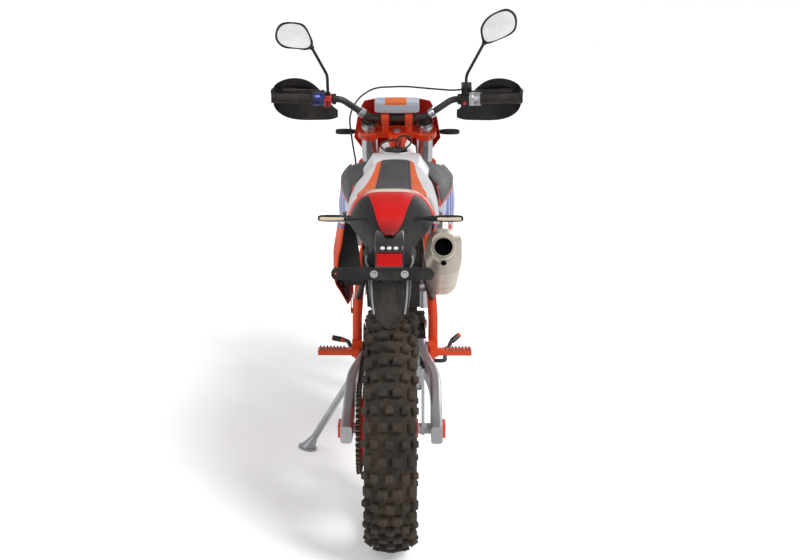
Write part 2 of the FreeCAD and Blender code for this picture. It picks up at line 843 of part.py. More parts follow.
def tilted(shape, along, up, angle_deg):
    shape.rotate(Vector(0, along, up), side_axis, angle_deg)
    return shape


def block(centre, half_across, half_along, tall, corner):
    points = []
    for x, y in ((-half_across, -half_along), (half_across, -half_along), (half_across, half_along), (-half_across, half_along)):
        points.append(centre + Vector(x, y, 0))
    return slab(points, corner, Vector(0, 0, tall))


def cylinder(crankcase_solid, room):
    foot = spot(*cylinder_foot_shares)
    half = cylinder_length / 2
    corner = cylinder_length / 6
    pieces = [block(foot, cylinder_half_width * 0.9, half * 0.9, barrel_height, corner)]
    for i in range(cylinder_ribs):
        rise = barrel_height * (i + 0.9) / (cylinder_ribs + 0.5)
        pieces.append(block(foot + Vector(0, 0, rise), cylinder_half_width, half, cylinder_rib, corner))
    top = foot + Vector(0, 0, barrel_height)
    pieces.append(block(top, cylinder_half_width * 1.08, half * 1.1, head_height, corner))
    pieces.append(block(top + Vector(0, 0, head_height), cylinder_half_width * 0.9, half * 0.95, cam_cover_height, corner * 1.3))
    port = rod(top + Vector(0, half, head_height * 0.4), top + Vector(0, half * 1.32, head_height * 0.4), exhaust_radius * 1.4)
    inlet = rod(top + Vector(0, -half, head_height * 0.5), top + Vector(0, -half * 1.5, head_height * 0.8), exhaust_radius * 1.2)
    whole = tilted(joined(pieces + [port, inlet]), foot.y, foot.z, -cylinder_lean_deg)
    return whole.cut(crankcase_solid).cut(room)


header_shares = ((0, 0.905, 0.604), (0.01, 0.957, 0.597), (0.18, 0.968, 0.550), (0.42, 0.94, 0.515), (0.66, 0.87, 0.545), (0.70, 0.76, 0.600),
                 (0.74, 0.63, 0.612), (0.70, 0.50, 0.640))
muffler_shares = ((0.400, 0.70, 0.672, 0.50), (0.345, 0.70, 0.697, 0.96), (0.20, 0.70, 0.757, 1.0), (-0.025, 0.70, 0.847, 1.0),
                  (-0.085, 0.69, 0.871, 0.64))


def exhaust(cylinder_solid, room):
    points = [spot(*share) for share in header_shares]
    along, across, up, share = muffler_shares[0]
    points.append(spot(across, along, up) + Vector(0, running_gap, 0))
    pipe = bent_tube(points, exhaust_radius, exhaust_radius * 3)
    clamp = rod(points[-1], points[-1] + (points[-2] - points[-1]).normalize() * exhaust_radius * 1.4, exhaust_radius * 1.2)
    beyond = Part.makeBox(body_half_width * 2, body_length, body_height, Vector(0, points[-1].y - body_length, 0))
    return joined([pipe, clamp]).cut(beyond).cut(cylinder_solid).cut(room)


def muffler():
    wires = []
    for along, across, up, share in muffler_shares:
        wide, tall = muffler_width * share, muffler_tall * share
        wires.append(section(across * body_half_width, along * body_length, up * body_height, wide, tall, wide * 0.42))
    shell = Part.makeLoft(wires, True, True)
    last, before = muffler_shares[-1], muffler_shares[-2]
    mouth = spot(last[1], last[0], last[2])
    heading = (mouth - spot(before[1], before[0], before[2])).normalize()
    ring = Part.makeCylinder(muffler_outlet_radius, muffler_outlet_length, mouth - heading * muffler_outlet_wall, heading)
    depth = muffler_outlet_length * 4
    hole = Part.makeCylinder(muffler_outlet_radius - muffler_outlet_wall, depth, mouth - heading * depth / 2, heading)
    return joined([shell, ring]).cut(hole)


# Radiators
def radiators():
    low = radiator_foot.z
    core = Part.makeBox(radiator_width, radiator_depth, radiator_tall, radiator_foot)
    gaps = []
    pitch = (radiator_tall - 2 * radiator_tank) / radiator_fins
    for i in range(radiator_fins):
        gap = Part.makeBox(radiator_width - radiator_tank, radiator_depth / 4 + overrun, pitch / 2)
        along = radiator_foot.y + radiator_depth * 0.75
        gap.translate(Vector(radiator_inner + radiator_tank / 2, along, low + radiator_tank + pitch * (i + 0.25)))
        gaps.append(gap)
    core = core.cut(gaps)
    return Part.makeCompound([core, mirrored(core)])


# Tank and cap
tank_rows = ((1.000, ((0.36, 0.815), (0.46, 0.88), (0.24, 0.948))), (0.95, ((0.50, 0.785), (0.70, 0.85), (0.34, 0.972))),
             (0.85, ((0.56, 0.775), (0.74, 0.855), (0.38, 0.985))), (0.75, ((0.52, 0.795), (0.62, 0.86), (0.36, 0.972))),
             (0.69, ((0.44, 0.825), (0.50, 0.87), (0.32, 0.945))))
tunnel_shares = ((0, 1.12, 0.985), (0, 0.98, 0.905), (0, 0.80, 0.802), (0, 0.65, 0.66), (0, 0.65, 0.50), (0, 1.12, 0.50))
cap_shares = (0, 0.885, 0.983)
cap_tilt_deg = 4.0


def shouldered(along_share, rows, corner_share):
    along = along_share * body_length
    right = [Vector(half * body_half_width, along, up * body_height) for half, up in rows]
    left = [Vector(-p.x, p.y, p.z) for p in reversed(right)]
    return Part.Wire(path_edges(right + left, corner_share * body_half_width, True))


def tank(room):
    shell = skin([shouldered(along, rows, 0.14) for along, rows in tank_rows])
    half = 0.36 * body_half_width + main_tube_radius
    tunnel = plate([spot(*share) for share in tunnel_shares], main_tube_radius, -half, half)
    foot = spot(*cap_shares)
    cap_seat = rod(foot - Vector(0, 0, cap_tall * 2), foot, cap_radius * 1.2)
    cap_room = rod(foot, foot + Vector(0, 0, cap_tall * 2), cap_radius * 1.1)
    return shell.cut(tunnel).fuse(cap_seat).cut(cap_room).cut(room)


def tank_cap():
    foot = spot(*cap_shares) + Vector(0, 0, running_gap)
    cap = Part.makeCylinder(cap_radius, cap_tall, foot)
    notches = []
    for i in range(cap_grips):
        turn = 2 * math.pi * i / cap_grips
        at = foot + Vector(cap_radius * math.cos(turn), cap_radius * math.sin(turn), cap_tall * 0.3)
        notches.append(Part.makeCylinder(cap_radius / 7, cap_tall, at))
    cap = cap.cut(notches)
    nipple = Part.makeCylinder(vent_hose_radius * 1.6, cap_tall * 0.6, foot + Vector(0, 0, cap_tall - overrun))
    return joined([cap, nipple])


# Vent hose, from the cap's nipple once round the cap and down ahead of the tank, measured from the cap's foot
vent_hose_route = ((0.0, 0.0, 22.3), (0.0, 0.0, 40.0), (14.0, 12.0, 54.0), (38.0, 14.0, 53.0), (52.0, -5.0, 42.0), (44.0, -31.0, 28.0),
                   (21.0, -49.0, 16.0), (-9.0, -54.0, 11.0), (-37.0, -41.0, 14.0), (-52.0, -14.0, 21.0), (-49.0, 18.0, 28.0),
                   (-30.0, 43.0, 33.0), (-2.0, 64.0, 34.0), (13.0, 95.0, 28.0), (10.0, 124.0, 9.0), (4.0, 138.0, -22.0))


def vent_hose(carrier):
    foot = spot(*cap_shares)
    points = [foot + Vector(*row) for row in vent_hose_route]
    return biggest(bent_tube(points, vent_hose_radius, cap_radius).cut(carrier))


# Seat
seat_rows = ((0.79, ((0.24, 0.925), (0.28, 0.955), (0.20, 0.974))), (0.68, ((0.46, 0.862), (0.44, 0.93), (0.34, 0.972))),
             (0.50, ((0.62, 0.846), (0.60, 0.92), (0.46, 0.961))), (0.30, ((0.66, 0.858), (0.64, 0.92), (0.50, 0.962))),
             (0.12, ((0.64, 0.895), (0.62, 0.94), (0.50, 0.980))), (0.03, ((0.58, 0.935), (0.56, 0.965), (0.44, 0.992))))


def seat(cuts):
    cushion = skin([shouldered(along, rows, 0.07) for along, rows in seat_rows])
    for cut in cuts:
        cushion = cushion.cut(cut)
    return biggest(cushion)


def biggest(shape):
    return max(shape.Solids, key=lambda solid: solid.Volume)


# Shrouds and side panels, each a curved sheet cut to its outline and carried on bosses
shroud_outline_shares = ((0, 0.60, 0.845), (0, 0.66, 0.905), (0, 0.86, 0.915), (0, 1.02, 0.925), (0, 1.10, 0.85), (0, 1.075, 0.74),
                         (0, 0.995, 0.60), (0, 0.915, 0.66), (0, 0.82, 0.77))
shroud_station_shares = ((0.55, 0.58, 0.64, 0.67, 0.64, 0.50), (0.75, 0.72, 0.80, 0.83, 0.79, 0.62), (0.95, 0.86, 0.93, 0.96, 0.90, 0.68),
                         (1.16, 0.90, 0.96, 0.99, 0.94, 0.74))
shroud_height_shares = (0.55, 0.68, 0.80, 0.88, 0.95)
shroud_boss_shares = ((0, 1.02, 0.845), (0, 1.02, 0.70), (0, 0.84, 0.855))
left_outline_shares = ((0, 0.61, 0.84), (0, 0.30, 0.895), (0, 0.05, 0.925), (0, 0.09, 0.84), (0, 0.22, 0.70), (0, 0.35, 0.605), (0, 0.46, 0.60),
                       (0, 0.54, 0.70))
right_outline_shares = ((0, 0.61, 0.84), (0, 0.30, 0.895), (0, 0.05, 0.935), (0, 0.10, 0.885), (0, 0.36, 0.785), (0, 0.47, 0.72), (0, 0.54, 0.72))
side_station_shares = ((0.66, 0.60, 0.62, 0.64, 0.60), (0.45, 0.64, 0.72, 0.74, 0.66), (0.22, 0.68, 0.84, 0.84, 0.70), (0.00, 0.56, 0.62, 0.66, 0.62))
side_height_shares = (0.56, 0.70, 0.80, 0.96)
left_boss_shares = ((0, 0.46, 0.68), (0, 0.20, 0.856), (0.52, 0.268, 0.6877))
right_boss_shares = ((0, 0.42, 0.835), (0, 0.14, 0.897))


def curved_stations(rows, heights):
    stations = []
    for row in rows:
        stations.append([spot(across, row[0], up) for across, up in zip(row[1:], heights)])
    return stations


def panel(rows, heights, outline, bosses, carriers):
    stations = curved_stations(rows, heights)
    cut = plate([spot(*share) for share in outline], panel_corner, 0, 2 * body_half_width)
    sheet = curved_sheet(stations, panel_wall).common(cut)
    filled = curved_sheet(stations, body_half_width)
    pieces = [sheet]
    for share in bosses:
        inner = spot(*share)
        reach = Part.makeCylinder(boss_radius, 2 * body_half_width, inner, side_axis)
        boss = reach.common(filled).cut(carriers)
        pieces.append(max(boss.Solids, key=lambda solid: solid.BoundBox.XMax))
    return joined(pieces)


def shrouds(tank_solid, room):
    hidden = Part.makeBox(radiator_inner + radiator_width + running_gap, 2 * radiator_depth, radiator_tall * 1.2,
                          Vector(0, radiator_foot.y - radiator_depth / 2, radiator_foot.z))
    right = panel(shroud_station_shares, shroud_height_shares, shroud_outline_shares, shroud_boss_shares, [hidden, tank_solid])
    return Part.makeCompound([right, mirrored(right)])


def side_panel_left(carriers, seat_solid):
    shape = panel(side_station_shares, side_height_shares, left_outline_shares, left_boss_shares, carriers)
    return mirrored(biggest(shape.cut(seat_solid)))


def side_panel_right(carriers, seat_solid):
    shape = panel(right_station_shares, side_height_shares, right_outline_shares, right_boss_shares, carriers)
    return biggest(shape.cut(seat_solid))


right_station_shares = ((0.66, 0.56, 0.60, 0.62, 0.60), (0.45, 0.48, 0.56, 0.62, 0.62), (0.22, 0.44, 0.50, 0.56, 0.62), (0.00, 0.44, 0.48, 0.54, 0.60))
airbox_outline_shares = ((0, 0.545, 0.82), (0, 0.20, 0.86), (0, 0.20, 0.72), (0, 0.30, 0.61), (0, 0.41, 0.59), (0, 0.475, 0.70))
airbox_half_share = 0.385


def airbox(cuts):
    half = airbox_half_share * body_half_width
    case = plate([spot(*share) for share in airbox_outline_shares], panel_corner, -half, half)
    for cut in cuts:
        case = case.cut(cut)
    return biggest(case)


# Rear fender and what it carries
rear_fender_shares = ((0.024, 0.958, 1.06, 0.030), (-0.03, 0.966, 1.10, 0.036), (-0.10, 0.964, 0.98, 0.040), (-0.20, 0.932, 0.62, 0.034),
                      (-0.30, 0.880, 0.36, 0.024))
flap_shares = ((0, -0.270, 0.885), (0, -0.300, 0.885), (0, -0.318, 0.72), (0, -0.310, 0.712))
lamp_shares = ((0, -0.3003, 0.925), (0, -0.316, 0.925), (0, -0.330, 0.873), (0, -0.3003, 0.873))


def hood_wire(width, along, crown, drop, inset):
    half = width / 2 - inset
    top = crown - inset
    outer = [Vector(-half, along, crown - drop), Vector(-half * 0.74, along, top - (drop - inset) * 0.22), Vector(0, along, top)]
    outer += [Vector(-p.x, p.y, p.z) for p in reversed(outer[:2])]
    return outer


def hooded_section(width, along, crown, drop, wall):
    outer = hood_wire(width, along, crown, drop, 0)
    inner = hood_wire(width, along, crown, drop, wall)
    curves = []
    for points in (outer, inner):
        curve = Part.BSplineCurve()
        curve.interpolate(points)
        curves.append(curve.toShape())
    edges = [curves[0], Part.makeLine(outer[-1], inner[-1]), curves[1], Part.makeLine(inner[0], outer[0])]
    return Part.Wire(Part.__sortEdges__(edges))


def filled_section(width, along, crown, drop, wall):
    outer = hood_wire(width, along, crown, drop, wall / 2)
    curve = Part.BSplineCurve()
    curve.interpolate(outer)
    return Part.Wire([curve.toShape(), Part.makeLine(outer[-1], outer[0])])


def rear_fender(cuts):
    rows = []
    for along, up, width, drop in rear_fender_shares:
        rows.append((width * body_half_width, along * body_length, (up + drop) * body_height, 2 * drop * body_height, fender_wall))
    shell = skin([hooded_section(*row) for row in rows])
    inside = skin([filled_section(*row) for row in rows])
    rail_x = seat_rail_shares[-1][0] * body_half_width
    pieces = [shell]
    for side in (-1, 1):
        rib = Part.makeBox(fender_wall * 2, 0.05 * body_length, 0.12 * body_height,
                           Vector(side * rail_x - fender_wall, -0.085 * body_length, 0.90 * body_height))
        pieces.append(rib.common(inside))
    flap = plate([spot(*share) for share in flap_shares], flap_wall / 4, -flap_half_width, flap_half_width)
    pieces.append(flap)
    whole = joined(pieces)
    for cut in cuts:
        whole = whole.cut(cut)
    return biggest(whole)


def tail_lamp(fender):
    lamp = plate([spot(*share) for share in lamp_shares], lamp_corner, -lamp_half_width, lamp_half_width)
    return biggest(lamp.cut(fender))


bracket_across_shares = (-0.72, 0.55)
bracket_bolt_shares = (-0.19, 0.19)
bracket_height_shares = (0.838, 0.870)


def plate_bracket(fender):
    low, high = [share * body_height for share in bracket_height_shares]
    left, right = [share * body_half_width for share in bracket_across_shares]
    along = flap_shares[2][1] * body_length
    points = [Vector(left, along, low), Vector(right, along, low), Vector(right, along, high), Vector(left, along, high)]
    bar = slab(points, (high - low) * 0.45, Vector(0, -bracket_wall, 0))
    foot = Part.makeBox(flap_half_width, bracket_wall * 4, (high - low) * 0.8,
                        Vector(-flap_half_width / 2, along - overrun, low + (high - low) * 0.1))
    middle = (low + high) / 2
    cuts = []
    for share in bracket_bolt_shares + (bracket_across_shares[0] * 0.92,):
        start = Vector(share * body_half_width, along + bracket_wall * 4, middle)
        cuts.append(Part.makeCylinder(bracket_bolt_radius, bracket_wall * 6, start, Vector(0, -1, 0)))
    return biggest(joined([bar, foot]).cut(cuts).cut(fender))


rear_indicator_shares = ((0.20, 0.56, 0), (0.56, 0.94, 1))


def indicator(rows, along, up):
    pieces = []
    for inner, outer, is_lens in rows:
        radius = indicator_lens_radius if is_lens else indicator_stalk_radius
        pieces.append(rod(spot(inner, along, up), spot(outer, along, up), radius))
    return joined(pieces)


def rear_indicators(fender):
    right = indicator(rear_indicator_shares, -0.155, 0.962).cut(fender)
    right = max(right.Solids, key=lambda solid: solid.BoundBox.XMax)
    return Part.makeCompound([right, mirrored(right)])


# Footpegs and foot controls
peg_shares = ((0, 0.520, 0.396), (0, 0.560, 0.396), (0, 0.560, 0.414), (0, 0.520, 0.414))
peg_reach_share = 1.20
pedal_shares = ((0.60, 0.625, 0.350), (0.80, 0.622, 0.350), (0.80, 0.675, 0.348), (0.90, 0.72, 0.385), (0.98, 0.735, 0.395))
lever_shares = ((-0.352, 0.655, 0.345), (-0.60, 0.655, 0.345), (-0.66, 0.68, 0.350), (-0.78, 0.73, 0.385), (-0.98, 0.735, 0.392))


def footpegs():
    inner = main_tube_shares[-1][0] * body_half_width + main_tube_radius + running_gap
    outer = peg_reach_share * body_half_width
    peg = plate([spot(*share) for share in peg_shares], peg_tooth, inner, outer)
    pitch = (outer - inner) / (peg_teeth + 1)
    middle = (peg_shares[0][1] + peg_shares[1][1]) / 2 * body_length
    cuts = []
    for i in range(peg_teeth):
        hole = Part.makeCylinder(pitch * 0.36, body_height, Vector(inner + pitch * (i + 1.2), middle, 0))
        cuts.append(hole)
    peg = peg.cut(cuts)
    return Part.makeCompound([peg, mirrored(peg)])


def foot_control(shares):
    points = [spot(*share) for share in shares]
    arm = bent_tube(points, lever_arm_radius, lever_tip_radius * 2)
    heading = (points[-1] - points[-2]).normalize()
    tip = rod(points[-1] - heading * lever_tip_radius * 2, points[-1] + heading * lever_tip_radius, lever_tip_radius)
    return joined([arm, tip])


drive_cover_shares = ((0, 0.628, 0.440), (0, 0.640, 0.385), (0, 0.715, 0.385), (0, 0.722, 0.445), (0, 0.67, 0.462))


def drive_cover():
    outside = chain_at - chain_inside / 2 - chain_plate - mount_tube_radius / 2
    cover = plate([spot(*share) for share in drive_cover_shares], arm_corner, outside - panel_wall, outside)
    across, along, up = drive_cover_shares[2]
    post = drum(mount_tube_radius * 0.6, outside - panel_wall, -crankcase_half_width - running_gap, (along - 0.010) * body_length,
                (up + 0.030) * body_height)
    return joined([cover, post])


# Rear shock
shock_shares = ((0, 0.655, 0.66), (0, 0.475, 0.4253))


def shock(cuts):
    top, foot = [spot(*share) for share in shock_shares]
    length = (top - foot).Length
    spring_outside = spring_radius + spring_wire_radius
    profile = [(running_gap, 0), (running_gap, shock_body_radius * 0.6), (length * 0.14, shock_body_radius * 0.6)]
    profile += [(length * 0.14, spring_outside), (length * 0.18, spring_outside)]
    start, end = length * 0.18, length * 0.74
    pitch = (end - start) / spring_turns
    for i in range(spring_turns):
        for share, radius in ((0.08, spring_radius - spring_wire_radius), (0.3, spring_outside), (0.78, spring_outside)):
            profile.append((start + pitch * (i + share), radius))
    profile += [(end, spring_radius - spring_wire_radius), (end, spring_outside), (length * 0.80, spring_outside)]
    profile += [(length * 0.80, shock_body_radius), (length * 0.88, shock_body_radius)]
    profile += [(length * 0.88, shock_body_radius * 0.6), (length, shock_body_radius * 0.6), (length, 0)]
    whole = revolved(profile, Vector(0, 0, 0))
    whole.Placement = Placement(foot, Rotation(side_axis, top - foot))
    return biggest(whole.cut(cuts))


strap_shares = (0, 0.268, 0.653)


def stand_strap():
    across, along, up = strap_shares
    long_half, short_half = 0.050 * body_height, 0.014 * body_length
    x = -0.60 * body_half_width
    middle = Vector(x, along * body_length, up * body_height)
    points = []
    for y, z in ((-short_half, -long_half), (short_half, -long_half), (short_half, long_half), (-short_half, long_half)):
        points.append(middle + Vector(0, y, z))
    outer = slab(points, short_half, Vector(strap_radius * 2, 0, 0))
    inner_points = [middle + (p - middle) * 0.62 for p in points]
    for p, q in zip(inner_points, points):
        p.z = q.z + (strap_radius * 2 if q.z < middle.z else -strap_radius * 2)
        p.x -= overrun
    inner = slab(inner_points, short_half * 0.6, Vector(strap_radius * 2 + 2 * overrun, 0, 0))
    return outer.cut(inner)


# Steering: clamps, forks, front fender and mask, drawn about the steering axis
def tube_centres(height):
    return [Vector(side * fork_spread, fork_lead, height) for side in (-1, 1)]


def triple_clamps():
    pieces = []
    ring = fork_tube_radius + running_gap + clamp_wall
    lower = head_low - running_gap - lower_clamp_height
    upper = head_high + running_gap
    for low, tall in ((lower, lower_clamp_height), (upper, upper_clamp_height)):
        for at in tube_centres(low):
            pieces.append(Part.makeCylinder(ring, tall, at))
        pieces.append(Part.makeBox(2 * fork_spread, clamp_waist, tall, Vector(-fork_spread, fork_lead - clamp_waist / 2, low)))
        pieces.append(Part.makeCylinder(head_cup_radius, tall, Vector(0, 0, low)))
    pieces.append(Part.makeCylinder(stem_radius, upper - lower, Vector(0, 0, lower)))
    pieces.append(Part.makeCylinder(stem_radius, upper_clamp_height + clamp_wall / 2, Vector(0, 0, upper)))
    foot = upper + upper_clamp_height - overrun
    for side in (-1, 1):
        at = Vector(side * bar_clamp_at, bar_lead, foot)
        pieces.append(Part.makeCylinder(bar_post_radius, bar_height - foot, at))
        start = Vector(side * bar_clamp_at - bar_clamp_length / 2, bar_lead, bar_height)
        pieces.append(Part.makeCylinder(bar_radius + bar_clamp_wall, bar_clamp_length, start, side_axis))
    whole = joined(pieces)
    cuts = [Part.makeCylinder(fork_tube_radius + running_gap, fork_tube_top, at) for at in tube_centres(fork_tube_foot)]
    cuts.append(Part.makeCylinder(bar_radius + running_gap, 2 * fork_spread, Vector(-fork_spread, bar_lead, bar_height), side_axis))
    return steered(whole.cut(cuts))


def fork_tubes():
    solids = []
    for at in tube_centres(fork_tube_foot):
        tall = fork_tube_top - fork_tube_foot
        tube = Part.makeCylinder(fork_tube_radius, tall, at)
        collar = Part.makeCylinder(fork_collar_radius, fork_collar_height, at)
        cap = Part.makeCylinder(fork_cap_radius, fork_cap_height, at + Vector(0, 0, tall))
        tube = joined([tube, collar, cap])
        tube = tube.cut(Part.makeCylinder(fork_leg_radius + running_gap, fork_overlap + 2 * overrun, at - Vector(0, 0, overrun)))
        solids.append(tube)
    return steered(Part.makeCompound(solids))


def leg_guard(side):
    """A half-round guard ahead of a leg, standing on the axle lug."""
    at = Vector(side * fork_spread, fork_lead, leg_guard_low)
    outer_radius = fork_leg_radius + leg_guard_gap + leg_guard_wall
    tall = leg_guard_high - leg_guard_low
    shell = Part.makeCylinder(outer_radius, tall, at)
    shell = shell.cut(Part.makeCylinder(outer_radius - leg_guard_wall, tall, at))
    behind = Part.makeBox(4 * outer_radius, 2 * outer_radius, tall, at - Vector(2 * outer_radius, 2 * outer_radius, 0))
    return shell.cut(behind)


def leg_lug(side):
    """The lug ahead of a leg, bored for the axle."""
    inner = side * fork_spread - leg_lug_width / 2
    eye = Part.makeCylinder(leg_lug_radius, leg_lug_width, Vector(inner, axle_offset, 0), side_axis)
    foot = Vector(inner, fork_lead, -leg_lug_radius / 2)
    web = Part.makeBox(leg_lug_width, axle_offset - fork_lead, leg_guard_low + leg_lug_radius, foot)
    return joined([eye, web])


def front_arm():
    """The carrier of the caliper, from the left leg to the disc."""
    near = front_disc_at - disc_wall / 2 - caliper_wall
    start = -fork_spread + fork_leg_radius * 0.4
    outline = [Vector(start, y * front_disc_radius, z * front_disc_radius) for y, z in front_arm_shares]
    return Part.Face(Part.makePolygon(outline + outline[:1])).extrude(Vector(near - start, 0, 0))


def fork_legs():
    solids = []
    for side in (-1, 1):
        at = Vector(side * fork_spread, fork_lead, -leg_lug_radius / 2)
        leg = Part.makeCylinder(fork_leg_radius, fork_tube_foot + fork_overlap, at)
        pieces = [leg, leg_lug(side), leg_guard(side)]
        if side < 0:
            pieces.append(front_arm())
        solids.append(joined(pieces).cut(axle_room()))
    return steered(Part.makeCompound(solids))


def axle_room():
    end = 2 * fork_spread
    inner = fork_spread - leg_lug_width / 2
    bore = Part.makeCylinder(axle_radius + running_gap, 2 * end, Vector(-end, axle_offset, 0), side_axis)
    return bore.fuse(Part.makeCylinder(axle_radius + axle_collar + running_gap, 2 * inner, Vector(-inner, axle_offset, 0), side_axis))


def front_axle():
    end = fork_spread + leg_lug_width
    lug = fork_spread - leg_lug_width / 2 - running_gap
    pieces = [Part.makeCylinder(axle_radius, 2 * end, Vector(-end, axle_offset, 0), side_axis)]
    collar = axle_radius + axle_collar
    for side, hub_end in ((-1, front_hub_left), (1, front_hub_right)):
        near, far = sorted((side * (hub_end + running_gap), side * lug))
        pieces.append(Part.makeCylinder(collar, far - near, Vector(near, axle_offset, 0), side_axis))
    cuts = []
    for side in (-1, 1):
        near, far = sorted((side * (end + running_gap), side * (end - axle_socket_depth)))
        cuts.append(Part.makeCylinder(axle_socket_radius, far - near, Vector(near, axle_offset, 0), side_axis))
    return steered(joined(pieces).cut(cuts))


front_arm_shares = ((0.17, 0.31), (0.17, 0.96), (-0.215, 0.91), (-0.354, 0.46))
front_caliper_shares = ((-0.54, 0.31), (-0.092, 0.477), (-0.077, 1.015), (-0.446, 0.908))


def front_caliper():
    half = disc_wall / 2 + caliper_wall - running_gap
    at = front_disc_at - half
    outline = [Vector(0, y * front_disc_radius, z * front_disc_radius) for y, z in front_caliper_shares]
    body = plate(outline, arm_corner, at, at + 2 * half)
    gap = disc_wall / 2 + caliper_gap
    slot = Part.makeCylinder(front_disc_radius + caliper_gap, 2 * gap, Vector(front_disc_at - gap, axle_offset, 0), side_axis)
    return steered(body.cut(slot))


front_fender_length = 545.0
front_fender_width = 144.0
front_fender_drop = 34.0
front_fender_share_rows = ((-0.195, 1.566, 0.667, 0.706), (-0.04, 1.68, 0.847, 0.824), (0.20, 1.731, 1.0, 1.0),
                           (0.55, 1.617, 0.93, 0.824), (0.80, 1.391, 0.639, 0.529))


def front_fender():
    rows = []
    for along_share, up_share, width_share, drop_share in front_fender_share_rows:
        width, along = width_share * front_fender_width, along_share * front_fender_length
        rows.append((width, along, up_share * front_tyre_radius, drop_share * front_fender_drop, fender_wall))
    shell = skin([hooded_section(*row) for row in rows])
    inside = skin([filled_section(*row) for row in rows])
    foot = head_low - running_gap - lower_clamp_height - running_gap
    pad = Part.makeBox(clamp_waist, clamp_waist, lower_clamp_height * 2, Vector(-clamp_waist / 2, fork_lead - clamp_waist / 2,
                                                                               foot - lower_clamp_height * 2))
    pad = pad.cut(inside)
    pad = max(pad.Solids, key=lambda solid: solid.BoundBox.ZMax)
    return steered(joined([shell, pad]))


mask_height = 205.0
mask_foot = 652.0
mask_back = 56.0
mask_reach = 104.0
mask_share_rows = ((0, 0.46, 0.885), (0.10, 0.80, 1.0), (0.34, 1.0, 0.962), (0.72, 0.92, 0.75), (1.0, 0.80, 0.423))
mask_half_width = 150.0
mask_strap_shares = (0.16, 0.42)
lens_share_rows = ((0.22, 0.52), (0.66, 0.62))


def mask_wires(inset):
    wires = []
    for up_share, width_share, reach_share in mask_share_rows:
        up = mask_foot + up_share * mask_height
        half = mask_half_width * width_share - inset
        front = mask_back + reach_share * mask_reach - inset
        back = mask_back - (overrun if inset else 0)
        points = [Vector(-half, back, up), Vector(-half * 0.94, back + (front - back) * 0.55, up), Vector(-half * 0.52, front, up)]
        points += [Vector(-p.x, p.y, p.z) for p in reversed(points)]
        wires.append(Part.makePolygon(points + points[:1]))
    return wires


def lens_block(extra):
    low = mask_foot + lens_share_rows[0][0] * mask_height - extra
    high = mask_foot + lens_share_rows[1][0] * mask_height + extra
    half_low = lens_share_rows[0][1] * mask_half_width / 2 * 1.4 + extra
    half_high = lens_share_rows[1][1] * mask_half_width / 2 * 1.4 + extra
    back = mask_back + mask_reach / 3
    points = [Vector(-half_low, back, low), Vector(half_low, back, low), Vector(half_high, back, high), Vector(-half_high, back, high)]
    return slab(points, panel_corner, Vector(0, mask_half_width, 0))


def headlight_mask():
    outer = Part.makeLoft(mask_wires(0), True, True)
    inner = Part.makeLoft(mask_wires(panel_wall), True, True)
    shell = outer.cut(inner)
    shell = shell.cut(lens_block(running_gap))
    straps = []
    for at in tube_centres(0):
        for share in mask_strap_shares:
            foot = Vector(at.x, fork_lead + fork_tube_radius + running_gap, mask_foot + share * mask_height)
            strap = Part.makeCylinder(mount_tube_radius, mask_half_width, foot, Vector(0, 1, 0))
            strap = strap.common(outer.fuse(Part.makeBox(mask_half_width * 2, mask_back, mask_height, Vector(-mask_half_width, 0, mask_foot))))
            straps.append(strap)
    return steered(biggest(joined([shell] + straps)))


def headlight():
    outer = Part.makeLoft(mask_wires(0), True, True)
    lens = lens_block(0).common(outer)
    return steered(biggest(lens))


def bar_points(side):
    return [Vector(0, bar_lead, bar_height), Vector(side * bar_flat, bar_lead, bar_height),
            Vector(side * bar_bend_at, bar_lead, bar_shoulder_height), Vector(side * bar_half_width, bar_lead - bar_sweep, bar_end_height)]


def bar_spine():
    return list(reversed(bar_points(-1)[1:])) + bar_points(1)[1:]


def handlebar():
    bar = bent_tube(bar_spine(), bar_end_radius, bar_bend_radius)
    thick = Part.makeCylinder(bar_radius, 2 * bar_thick_half, Vector(-bar_thick_half, bar_lead, bar_height), side_axis)
    return steered(joined([bar, thick]))


def bar_place(side, across):
    points = bar_points(side)
    share = (across - bar_bend_at) / (bar_half_width - bar_bend_at)
    return points[2] + (points[3] - points[2]) * share, (points[3] - points[2]).normalize()


def bar_ring(side, across, length, radius):
    at, heading = bar_place(side, across)
    return Part.makeCylinder(radius, length, at, heading)


def bar_bore(side):
    at, heading = bar_place(side, bar_bend_at)
    return Part.makeCylinder(bar_end_radius + running_gap, bar_half_width, at - heading * bar_bend_radius, heading)


def grips():
    solids = []
    for side in (-1, 1):
        start = bar_half_width - grip_length
        sleeve = bar_ring(side, start, grip_length, grip_radius)
        flange = bar_ring(side, start, grip_flange_wall, grip_flange_radius)
        solids.append(joined([sleeve, flange]).cut(bar_bore(side)))
    return steered(Part.makeCompound(solids))


def bar_pad():
    foot = bar_height + bar_radius + bar_clamp_wall + running_gap
    half = pad_width / 2
    points = [Vector(-pad_length / 2, bar_lead - half, foot), Vector(-pad_length / 2, bar_lead + half, foot)]
    points += [Vector(-pad_length / 2, bar_lead + half * 0.8, foot + pad_tall), Vector(-pad_length / 2, bar_lead - half * 0.8, foot + pad_tall)]
    return steered(slab(points, pad_corner, Vector(pad_length, 0, 0)))


def lever_tip(side):
    at, heading = bar_place(side, bar_half_width - grip_length / 6)
    return at + Vector(0, lever_reach * 1.15, 0)


